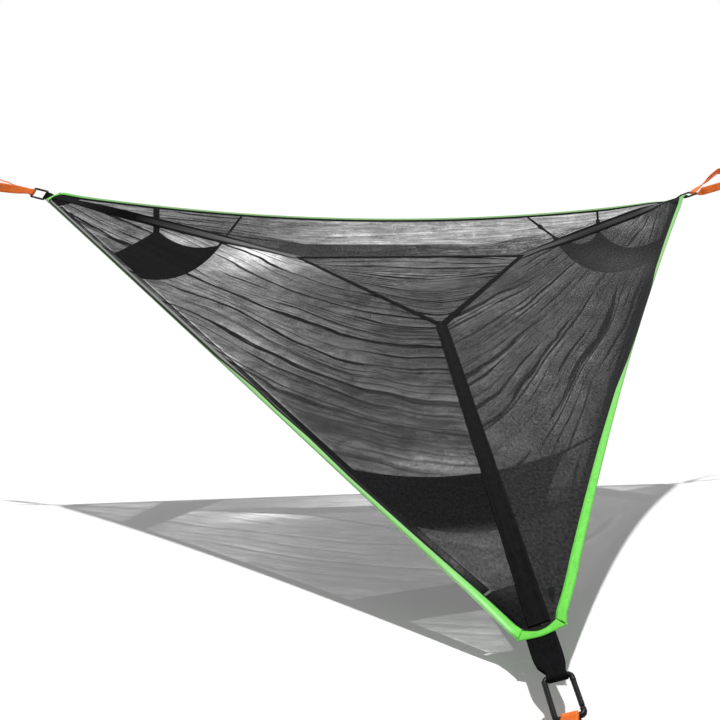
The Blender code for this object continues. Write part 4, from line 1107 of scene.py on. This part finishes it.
# The binding's look from its first corner to its last: share of the way, faded, dull, lip folded under
EDGE_WEAR = {
    "rear": (
        (0.0, 0.9, 0.30, 0.0), (0.5, 0.95, 0.40, 0.0), (0.86, 0.95, 0.40, 0.0), (0.94, 0.40, 0.15, 0.0),
        (1.0, 0.25, 0.0, 0.0),
    ),
    "left": (
        (0.0, 0.9, 0.50, 0.2), (0.05, 1.0, 0.95, 0.78), (0.45, 1.0, 0.90, 0.84), (0.57, 1.0, 0.75, 0.80),
        (0.64, 1.0, 0.20, 0.35), (0.68, 0.95, 0.05, 0.50), (0.73, 0.90, 0.05, 0.30),
        (0.79, 0.9, 0.0, 0.50), (0.89, 0.7, 0.0, 0.25), (0.94, 0.15, 0.0, 0.10), (1.0, 0.0, 0.0, 0.0),
    ),
    "right": (
        (0.0, 0.0, 0.0, 0.0), (0.14, 0.05, 0.0, 0.0), (0.26, 0.25, 0.0, 0.05), (0.36, 0.40, 0.0, 0.20),
        (0.43, 0.90, 0.10, 0.62), (0.50, 1.0, 0.30, 0.80), (0.62, 1.0, 0.40, 0.85),
        (0.69, 0.95, 0.10, 0.45), (0.80, 0.90, 0.05, 0.30), (0.90, 0.80, 0.05, 0.20),
        (1.0, 0.6, 0.10, 0.0),
    ),
}


# How much lighter grey the edge band and the folded lip get: share of the way, shade
EDGE_GREY = {
    "rear": ((0.0, 0.0), (1.0, 0.0)),
    "right": ((0.0, 0.0), (1.0, 0.0)),
    "left": (
        (0.0, 0.05), (0.03, 0.22), (0.58, 0.22), (0.64, 0.15), (0.72, 0.07), (0.78, 0.01), (0.885, 0.01),
        (0.905, 0.30), (0.955, 0.28), (0.98, 0.05), (1.0, 0.0),
    ),
}


def make_binding(name, grid, wear, paint, stands_for):
    mesh = woven(name, grid)
    set_vector(mesh, "wear", np.stack([along_band(grid, wear, k) for k in (1, 2, 3)], axis=-1))
    return thicken(add(mesh, paint, stands_for), BINDING_WALL)


def make_edge_binding(edge, paint):
    section = hem_section(LIP_UNDER_TAPE)
    grid = [[edge_point(edge, i, x, h, x + GAP) for x, h in section] for i in range(STATIONS + 1)]
    fine = across(refine(grid, 10, (1, STATIONS - 1)), 3)
    name = edge + "_hem_binding"
    piece = make_binding(name, fine, EDGE_WEAR[edge], paint, edge + "_edge_binding")
    set_value(piece.data, "shade", along_band(fine, EDGE_GREY[edge]))
    return piece


# How far the loop pulls the middle of each cut edge out
CUT_BOW = {"front": 0.0055, "left": 0.003, "right": 0.002}
# How faded and how dull the binding across each cut corner is, and how far its lip is folded under
CUT_WEAR = {"front": (0.0, 0.0), "left": (0.25, 0.0), "right": (0.8, 0.10)}
CUT_FOLD = 0.33
# How much further the cut binding runs into the edge bindings, and how much fuller it is
CUT_OVERLAP, CUT_FULLNESS = 0.0034, 1.08


def make_corner_binding(corner, paint):
    starting, ending = neighbours(corner)
    fold = BINDING_WALL / 2
    section = [
        (BINDING_WIDTH, LIP_TOP),
        (fold + LIP_TOP, LIP_TOP),
        (fold, 0.0),
        (fold + LIP_TOP, LIP_UNDER_NET),
        (BINDING_WIDTH, LIP_UNDER_NET),
    ]
    outward, sideways, up = corner_axes(corner)
    grid = []
    for edge, i, longer in ((ending, STATIONS, -CUT_OVERLAP), (starting, 0, CUT_OVERLAP)):
        by_hem, by_cut = corner_slant(edge, i == 0)
        place = edge_stations(edge)[i] + sideways * longer
        grid.append([place + (by_hem + by_cut) * x + up * (h * CUT_FULLNESS) for x, h in section])
    fine = across(refine(grid, 16), 4, (1, 3))
    pulled = np.sin(np.pi * np.linspace(0.0, 1.0, len(fine))) ** 1.5 * CUT_BOW[corner]
    fine = fine + pulled[:, None, None] * np.array(outward)
    wear = [(k / 8, *CUT_WEAR[corner], CUT_FOLD * math.sin(math.pi * k / 8)) for k in range(9)]
    return make_binding(corner + "_cut_binding", fine, wear, paint, corner + "_corner_binding")


# How far a doubling reaches into the net's first cells, and how far in from the hem it starts
PATCH_REACH, PATCH_INSET = 0.94, 0.02


def make_patch(corner, paint):
    starting, ending = neighbours(corner)
    normal = corner_axes(corner)[2]
    near = (BINDING_WIDTH + GAP - NET_TUCK) / (FIRST_STRAP_STEP - NET_TUCK)
    rows = []
    for step, share in ((0, near), (1, 0.0), (1, PATCH_REACH)):
        line = []
        for edge, onward in ((ending, -1), (starting, 1)):
            first = STATIONS - step if onward < 0 else step
            cells = list(zip(net_rows(edge, first)[1:], net_rows(edge, first + onward)[1:]))
            cells[0] = tuple(a.lerp(b, PATCH_INSET) for a, b in zip(cells[0], cells[1]))
            for a, b in cells if onward < 0 else reversed(cells):
                line.append(a.lerp(b, share) + normal * PATCH_HEIGHT)
        rows.append(line)
    grid = refine(rows, 5, (1,))
    piece = add(grid_mesh(corner + "_doubling", grid), paint, corner + "_corner_patch")
    return thicken(piece, PATCH_THICKNESS), spans(grid)


def ring_mesh(name, rings, closed=False):
    """A mesh over rings of points, which runs round or else has an end at each end."""
    bm = bmesh.new()
    made = [[bm.verts.new(p) for p in ring] for ring in rings]
    for first, second in zip(made, made[1:] + made[:1] if closed else made[1:]):
        for k in range(len(first)):
            after = (k + 1) % len(first)
            bm.faces.new((first[k], first[after], second[after], second[k]))
    if not closed:
        bm.faces.new(list(reversed(made[0])))
        bm.faces.new(made[-1])
    mesh = bpy.data.meshes.new(name)
    bm.to_mesh(mesh)
    bm.free()
    return mesh


def directions(points, closed=False):
    """From the point before each point to the one after it."""
    befores = [points[-1] if closed else points[0], *points[:-1]]
    afters = [*points[1:], points[0] if closed else points[-1]]
    return [after - before for before, after in zip(befores, afters)]


def ribbon_mesh(name, line, thickness, closed=False):
    """A band with square corners along (middle, half width) pairs."""
    sides = np.linspace(-1.0, 1.0, 7)
    rings, runs = [], []
    length = 0.0
    middles = [middle for middle, _ in line]
    for i, ((middle, half), run) in enumerate(zip(line, directions(middles, closed))):
        lift = half.cross(run).normalized() * thickness / 2
        if i:
            length += (middle - middles[i - 1]).length
        top = [middle + half * s + lift for s in sides]
        rings.append(top + [middle + half * s - lift for s in reversed(sides)])
        face = [(length, half.length * s, half.length * (1.0 - abs(s))) for s in sides]
        runs.append(face + face[::-1])
    mesh = ring_mesh(name, rings, closed)
    set_vector(mesh, "run", np.array(runs))
    return mesh


# Half the loop's width where it leaves the corner, and how far it leans to one side
LOOP_HALF = {"left": 0.019, "right": 0.019, "front": 0.0245}
LOOP_SHIFT = {"left": 0.0, "right": 0.0, "front": -0.45}
LOOP_START = 0.002  # past the hem
# How far a loop and a sling wrap round a bar, in degrees, and how many steps they take there
LOOP_WRAP, SLING_WRAP, BAR_STEPS = 216.0, 200.0, 16


def make_loop(corner, paint):
    place = fitting_axes(corner)[0]
    turn = ROD_RADIUS + GAP + STRAP_THICKNESS / 2
    spread = (TAIL_HEIGHT - SECOND_TAIL_HEIGHT) / 2
    wide, narrow = LOOP_HALF[corner], LOOP_WIDTH_AT_BAR / 2
    hem, leave = -LOOP_REACH[corner], -2.0 * turn
    start = hem + LOOP_START
    upper = [(hem - LOOP_TAIL, spread, STRAP_WIDTH / 2), (start, spread, wide)]
    for share in (0.2, 0.4, 0.6, 0.8, 1.0):
        half = wide + (narrow - wide) * (share if corner != "front" else share**6)
        upper.append((start + (leave - start) * share, spread + (turn - spread) * 0.8 * share, half))
    lower = [(x, -h, half) for x, h, half in reversed(upper)]
    ring = []
    for k in range(BAR_STEPS + 1):
        angle = math.radians(LOOP_WRAP * (0.5 - k / BAR_STEPS))
        ring.append((turn * math.cos(angle), turn * math.sin(angle), narrow))
    line = []
    for x, h, half in upper + ring + lower:
        share = smooth((x - start) / (leave - start))
        roll = CORNER_ROLL[corner] + (FITTING_ROLL[corner] - CORNER_ROLL[corner]) * share
        outward, sideways, up = corner_axes(corner, roll)
        shift = sideways * (half - narrow) * LOOP_SHIFT[corner]
        line.append((place + outward * x + up * h + shift, sideways * half))
    mesh = ribbon_mesh(corner + "_bar_loop", line, STRAP_THICKNESS)
    return add(mesh, paint, corner + "_strap_loop")


def sling_line(corner):
    """The sling's middle and half width: round the outer bar, out and round the trunk's far side."""
    place, outward, sideways, up = fitting_axes(corner)
    bar = place + outward * CARABINER_REACH
    bearing = Matrix.Rotation(math.radians(TRUNK_BEARING[corner]), 3, "Z")
    ahead = bearing @ strap_direction(corner)
    side_way = UP.cross(ahead)
    side = LOWER_LEG_SIDE[corner]
    trunk = bar + ahead * TRUNK_REACH[corner] + UP * TRUNK_RISE[corner]
    turn = ROD_RADIUS + GAP + SLING_THICKNESS / 2
    radius = TRUNK_RADIUS[corner] + SLING_THICKNESS / 2
    wrap = 90.0 + math.degrees(math.asin(radius / TRUNK_REACH[corner]))
    line, arc = [], []
    for k in range(BAR_STEPS + 1):
        angle = math.radians(180.0 + SLING_WRAP * (k / BAR_STEPS - 0.5))
        ring = outward * math.cos(angle) + up * math.sin(angle)
        line.append((bar + ring * turn, sideways * SLING_WIDTH_AT_BAR / 2))
    for k in range(LEG_STEPS + 1):
        angle = math.radians(side * wrap * (1.0 - 2.0 * k / LEG_STEPS))
        ring = ahead * math.cos(angle) + side_way * math.sin(angle)
        arc.append((trunk + ring * radius, UP * side * SLING_WIDTH / 2))
    lower = sling_leg(corner, "lower", line[-1][0], arc[0][0], side_way)
    upper = sling_leg(corner, "upper", line[0][0], arc[-1][0], side_way)
    return line + lower + arc + list(reversed(upper))


# How soon each leg of a sling turns upright, how far past that it hangs in degrees, and how much it spreads
LEG_TWIST = {
    ("left", "lower"): (0.85, -82.0, 0.0),
    ("left", "upper"): (1.2, 0.0, 0.50),
    ("right", "lower"): (0.22, -46.0, 0.25),
    ("right", "upper"): (0.70, 0.0, 0.0),
    ("front", "lower"): (0.85, 0.0, 0.0),
    ("front", "upper"): (0.85, 0.0, 0.0),
}
LEG_FREE = (0.25, 0.6)  # from here to here a leg hangs free of both its ends
LEG_STEPS = 24


def sling_leg(corner, which, start, end, side_way):
    roll, upright = FITTING_ROLL[corner], 90.0 * LOWER_LEG_SIDE[corner]
    soon, past, spread = LEG_TWIST[corner, which]
    run = (end - start).normalized()
    leg = []
    for k in range(1, LEG_STEPS):
        t = k / LEG_STEPS
        spin = smooth(t / soon)
        free = smooth(t / LEG_FREE[0]) * (1.0 - smooth((t - LEG_FREE[1]) / (1.0 - LEG_FREE[1])))
        angle = math.radians(roll + (upright - roll) * spin + past * free)
        width = side_way * math.cos(angle) + UP * math.sin(angle)
        width = (width - run * width.dot(run)).normalized()
        broad = SLING_WIDTH_AT_BAR + (SLING_WIDTH - SLING_WIDTH_AT_BAR) * spin
        leg.append((start.lerp(end, t), width * broad * (1.0 + spread * free) / 2))
    return leg


def make_sling(corner, paint):
    line = sling_line(corner)
    mesh = ribbon_mesh(corner + "_sling", line, SLING_THICKNESS, closed=True)
    piece = add(mesh, paint, corner + "_tree_sling", corner + "_sling_body")
    return piece


def tube_mesh(name, points, radii, around=24):
    """A round rod along points, with a radius for each point."""
    points = [Vector(p) for p in points]
    tangents = [run.normalized() for run in directions(points)]
    normal = tangents[0].orthogonal().normalized()
    rings = []
    for point, tangent, radius in zip(points, tangents, radii):
        normal = (normal - tangent * normal.dot(tangent)).normalized()
        other = tangent.cross(normal)
        ring = []
        for k in range(around):
            angle = 2.0 * math.pi * k / around
            ring.append(point + (normal * math.cos(angle) + other * math.sin(angle)) * radius)
        rings.append(ring)
    return ring_mesh(name, rings)


RING_START = GATE_PIVOT + GATE_RADIUS + 0.0006
BEND_STEPS, GATE_STEPS = 12, 12
TAIL_STEPS, TAIL_TURN = 7, 12.0  # rings of a gate's round tail, and degrees from one to the next


def carabiner_line():
    """The rod's middle as (across, outward) points, from the gate's hinge round to its nose."""
    w, bend, reach = CARABINER_HALF_WIDTH, CARABINER_BEND, CARABINER_REACH
    line = [(w, RING_START)]
    corners = (
        (w - bend, reach - bend, 0.0),
        (-w + bend, reach - bend, 90.0),
        (-w + bend, bend, 180.0),
        (w - bend, bend, 270.0),
    )
    for x, y, start in corners:
        for k in range(BEND_STEPS + 1):
            angle = math.radians(start + 90.0 * k / BEND_STEPS)
            line.append((x + bend * math.cos(angle), y + bend * math.sin(angle)))
    return [*line, (w, GATE_NOSE)]


def make_carabiner(corner, paint):
    place, outward, sideways, _ = fitting_axes(corner)
    middle = place + sideways * CARABINER_HALF_WIDTH
    ring = [place + sideways * x + outward * y for x, y in carabiner_line()]
    start = middle + outward * (GATE_NOSE + PIN_CLEARANCE)
    pivot = middle + outward * GATE_PIVOT
    latch = [start.lerp(pivot, k / GATE_STEPS) for k in range(GATE_STEPS + 1)]
    radii = [GATE_RADIUS] * len(latch)
    for k in range(1, TAIL_STEPS + 1):
        angle = math.radians(TAIL_TURN * k)
        latch.append(pivot + outward * GATE_RADIUS * math.sin(angle))
        radii.append(GATE_RADIUS * math.cos(angle))
    for name, points, sizes, node, soft in (
        ("_ring", ring, [ROD_RADIUS] * len(ring), "_carabiner", 0.0008),
        ("_latch", latch, radii, "_gate", 0.0007),
    ):
        mesh, solid = tube_mesh(corner + name, points, sizes), corner + node
        soften(add(mesh, paint, solid, solid + "_body"), soft, 3)


def along_edge(edge, corner, distance):
    """The hem's outside at a distance from a corner, and its inward, onward and up directions."""
    line = edge_stations(edge)
    order = list(range(STATIONS + 1))
    if EDGES[edge][1] == corner:
        order.reverse()
    left = distance
    for first, second in zip(order, order[1:]):
        run = (line[second] - line[first]).length
        if left <= run:
            share = left / run
            a, b = edge_frame(edge, first), edge_frame(edge, second)
            onward = (line[second] - line[first]).normalized()
            inward = a[1].lerp(b[1], share).normalized()
            return a[0].lerp(b[0], share), inward, onward, a[2].lerp(b[2], share).normalized()
        left -= run
    raise ValueError("the distance is longer than the edge")


def sewn_corner(corner, which):
    edge = POCKET_SEWN_EDGE[corner]
    place, inward, onward, up = along_edge(edge, corner, POCKET_SEWN_AT[corner][which])
    depth = TAPE_HEIGHT - TAPE_THICKNESS / 2 - GAP - POCKET_THICKNESS / 2
    return place + inward * (BINDING_WIDTH + 3.0 * GAP) + up * depth, onward


def tie_line(corner, which):
    edge = POCKET_TIED_EDGE[corner]
    place, inward, onward, up = along_edge(edge, corner, POCKET_TIED_AT[corner][which])
    depth = TAPE_HEIGHT - TAPE_THICKNESS / 2 - GAP - TIE_THICKNESS / 2
    start = place + inward * (BINDING_WIDTH + 3.0 * GAP) + up * depth
    bend = place + inward * TAPE_END + up * (depth - 0.001)
    end = bend + inward * TIE_INWARD[corner][which] - UP * TIE_DROP[corner][which]
    end = end + onward * TIE_SLANT[corner][which]
    run = (end - bend).normalized()
    across_it = (onward - run * onward.dot(run)).normalized()
    return start, bend, end, onward, across_it


TIE_STEPS = 12


def make_tie(corner, which, paint):
    start, bend, end, onward, across_it = tie_line(corner, which)
    half = TIE_WIDTH[corner][which] / 2
    line = [(start, onward * half), (bend, onward * half)]
    for k in range(1, TIE_STEPS + 1):
        share = k / TIE_STEPS
        way = onward.lerp(across_it, min(1.0, 3.0 * share)).normalized()
        line.append((bend.lerp(end, share), way * half))
    end_name = "near" if which == 0 else "far"
    mesh = ribbon_mesh(f"{corner}_tie_{end_name}", line, TIE_THICKNESS)
    return add(mesh, paint, f"{corner}_pocket_tie_{end_name}")


RIM_ENDS = 0.06  # the share of a pocket's rim that each tie holds


def rim_point(ends, widths, q):
    """A point of a pocket's rim, level with its ties at each end and straight between them."""
    (first, way_a), (second, way_b) = ends
    a0, a1 = first - way_a * widths[0] / 2, first + way_a * widths[0] / 2
    b0, b1 = second - way_b * widths[1] / 2, second + way_b * widths[1] / 2
    if q <= RIM_ENDS:
        return a0.lerp(a1, q / RIM_ENDS)
    if q >= 1.0 - RIM_ENDS:
        return b0.lerp(b1, (q - 1.0 + RIM_ENDS) / RIM_ENDS)
    return a1.lerp(b0, (q - RIM_ENDS) / (1.0 - 2.0 * RIM_ENDS))


def pocket_point(corner, sewn, tied, p, q):
    """A point of the pocket: p from its sewn edge to its rim, q along them."""
    low = rim_point(sewn, (TAB, TAB), q)
    high = rim_point(tied, TIE_WIDTH[corner], q)
    free = min(1.0, max(0.0, (q - RIM_ENDS) / (1.0 - 2.0 * RIM_ENDS)))
    bow = 4.0 * free * (1.0 - free)
    inward = flat(low - high).normalized()
    dip = POCKET_RIM_DIP[corner] * bow
    high = high + inward * POCKET_RIM_DRAW[corner] * bow - UP * dip
    low = low - UP * 0.5 * dip
    near, middle, far = POCKET_SAG[corner]
    sag = near * (1.0 - q) * (1.0 - 2.0 * q) + middle * 4.0 * q * (1.0 - q) + far * q * (2.0 * q - 1.0)
    return low.lerp(high, p) - UP * sag * 4.0 * p * (1.0 - p)


POCKET_STEPS = (40, 60)


def make_pocket(corner, paint):
    sewn, tied = [], []
    for which in (0, 1):
        sewn.append(sewn_corner(corner, which))
        _, bend, end, _, across_it = tie_line(corner, which)
        tied.append((end + (end - bend).normalized() * GAP, across_it))
    down, along = POCKET_STEPS
    grid = [
        [tuple(pocket_point(corner, sewn, tied, i / down, j / along)) for j in range(along + 1)]
        for i in range(down + 1)
    ]
    piece = add(grid_mesh(corner + "_pouch", grid), paint, corner + "_pocket")
    return thicken(piece, POCKET_THICKNESS), spans(grid)


# The floor, the sun and the white background

FLOOR_PROFILE = (
    (-9.0, -0.064), (-1.9, -0.064), (-1.70, -0.062), (-1.60, -0.090), (1.8, -2.18), (9.0, -2.4)
)
FLOOR_COLOR = (0.80, 0.80, 0.80)
FLOOR_GLOW = 0.11
SKY_GLOW = 0.26
SUN_ENERGY, SUN_ANGLE = 3.1, 1.6
SUN_DIRECTION = (0.0, -0.447, -1.0)


def seen_by_eye(n):
    """1 for what the camera sees, in a mirror or through glass too, and 0 for the light on things."""
    path = n.node("ShaderNodeLightPath").outputs
    seen = n.math("MAXIMUM", path["Is Camera Ray"], path["Is Transmission Ray"])
    return n.math("MAXIMUM", seen, path["Is Glossy Ray"])


def make_stage():
    mesh = grid_mesh("floor", [[(x, y, z) for x in (-12.0, -4.0, 4.0, 12.0)] for y, z in FLOOR_PROFILE])
    n = material("floor")
    diffuse = n.surface(FLOOR_COLOR, 0.9, specular=0.0)
    glow = n.node("ShaderNodeEmission", ("Strength", n.product(seen_by_eye(n), FLOOR_GLOW)))
    both = n.node("ShaderNodeAddShader", (0, diffuse), (1, glow.outputs[0]))
    mesh.materials.append(n.done(both.outputs[0]))
    floor = bpy.data.objects.new("floor", mesh)
    bpy.context.scene.collection.objects.link(floor)

    world = bpy.data.worlds.new("studio")
    bpy.context.scene.world = world
    n = Nodes(world, "ShaderNodeOutputWorld")
    strength = n.spread(seen_by_eye(n), 0.0, 1.0, SKY_GLOW, 1.0)
    sky = n.node("ShaderNodeBackground", ("Color", (1.0, 1.0, 1.0)), ("Strength", strength))
    n.done(sky.outputs[0])

    data = bpy.data.lights.new("sun", "SUN")
    data.energy = SUN_ENERGY
    data.angle = math.radians(SUN_ANGLE)
    sun = bpy.data.objects.new("sun", data)
    sun.rotation_euler = Vector(SUN_DIRECTION).to_track_quat("-Z", "Y").to_euler()
    bpy.context.scene.collection.objects.link(sun)
    bpy.context.scene.view_settings.view_transform = "Standard"


# Each webbing's dark, light and stitching colours, and its gloss
BLACK = ((0.003, 0.003, 0.0034), (0.010, 0.010, 0.011), (0.022, 0.022, 0.023), 0.02)
ORANGE = ((0.80, 0.11, 0.02), (1.0, 0.27, 0.05), (1.0, 0.45, 0.15), 0.1)
GREEN = ((0.13, 0.62, 0.07), (0.23, 0.84, 0.12), (0.10, 0.42, 0.06), 0.1)
# Dark and light colours of the fittings, and their roughness
METAL = ((0.004, 0.004, 0.005), (0.008, 0.008, 0.009), 0.34)
STEEL = ((0.35, 0.35, 0.36), (0.5, 0.5, 0.5), 0.3)
PLASTIC = ((0.012, 0.012, 0.013), (0.02, 0.02, 0.022), 0.42)


def main():
    make_camera()
    sling = webbing_paint("sling_webbing", *ORANGE)
    for corner in CORNER_ANGLE:
        make_sling(corner, sling)
    net = net_paint()
    webbing = webbing_paint("webbing", *BLACK)
    edging = webbing_paint("edge_webbing", *BLACK, rim=(0.001, 0.004))
    cloth = cloth_paint()
    lime = webbing_paint("binding", *GREEN, hem_wear)
    metal = simple_paint("anodised_metal", *METAL, gloss=0.14)
    steel = simple_paint("spring_steel", *STEEL, metallic=1.0)
    plastic = simple_paint("buckle_plastic", *PLASTIC, scale=700.0)
    kept = {"hem_cord": webbing, "gate_pin": steel, "gate_spring": steel, "adjuster": plastic}
    for name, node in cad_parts.items():
        for word, paint in kept.items():
            if word in name:
                node.data.materials.clear()
                node.data.materials.append(paint)
    sides = (("right", "left", "rear"), ("left", "front", "left"), ("front", "right", "right"))
    hatch = [make_hatch_band(a, b, side + "_hatch_webbing", webbing) for a, b, side in sides]
    straps = {corner: make_strap(corner, webbing) for corner in CORNER_ANGLE}
    for edge, ends in EDGES.items():
        panel = make_net(edge, net)
        hem = [make_edge_band(edge, edging), make_edge_binding(edge, lime)]
    make_hatch_net(net)
    make_flap(net)
    for corner in CORNER_ANGLE:
        hem = make_corner_binding(corner, lime)
        loop = make_loop(corner, webbing)
        make_patch(corner, cloth)
        make_carabiner(corner, metal)
        pouch = make_pocket(corner, cloth)
        ties = [make_tie(corner, which, webbing) for which in (0, 1)]
    make_stage()


main()
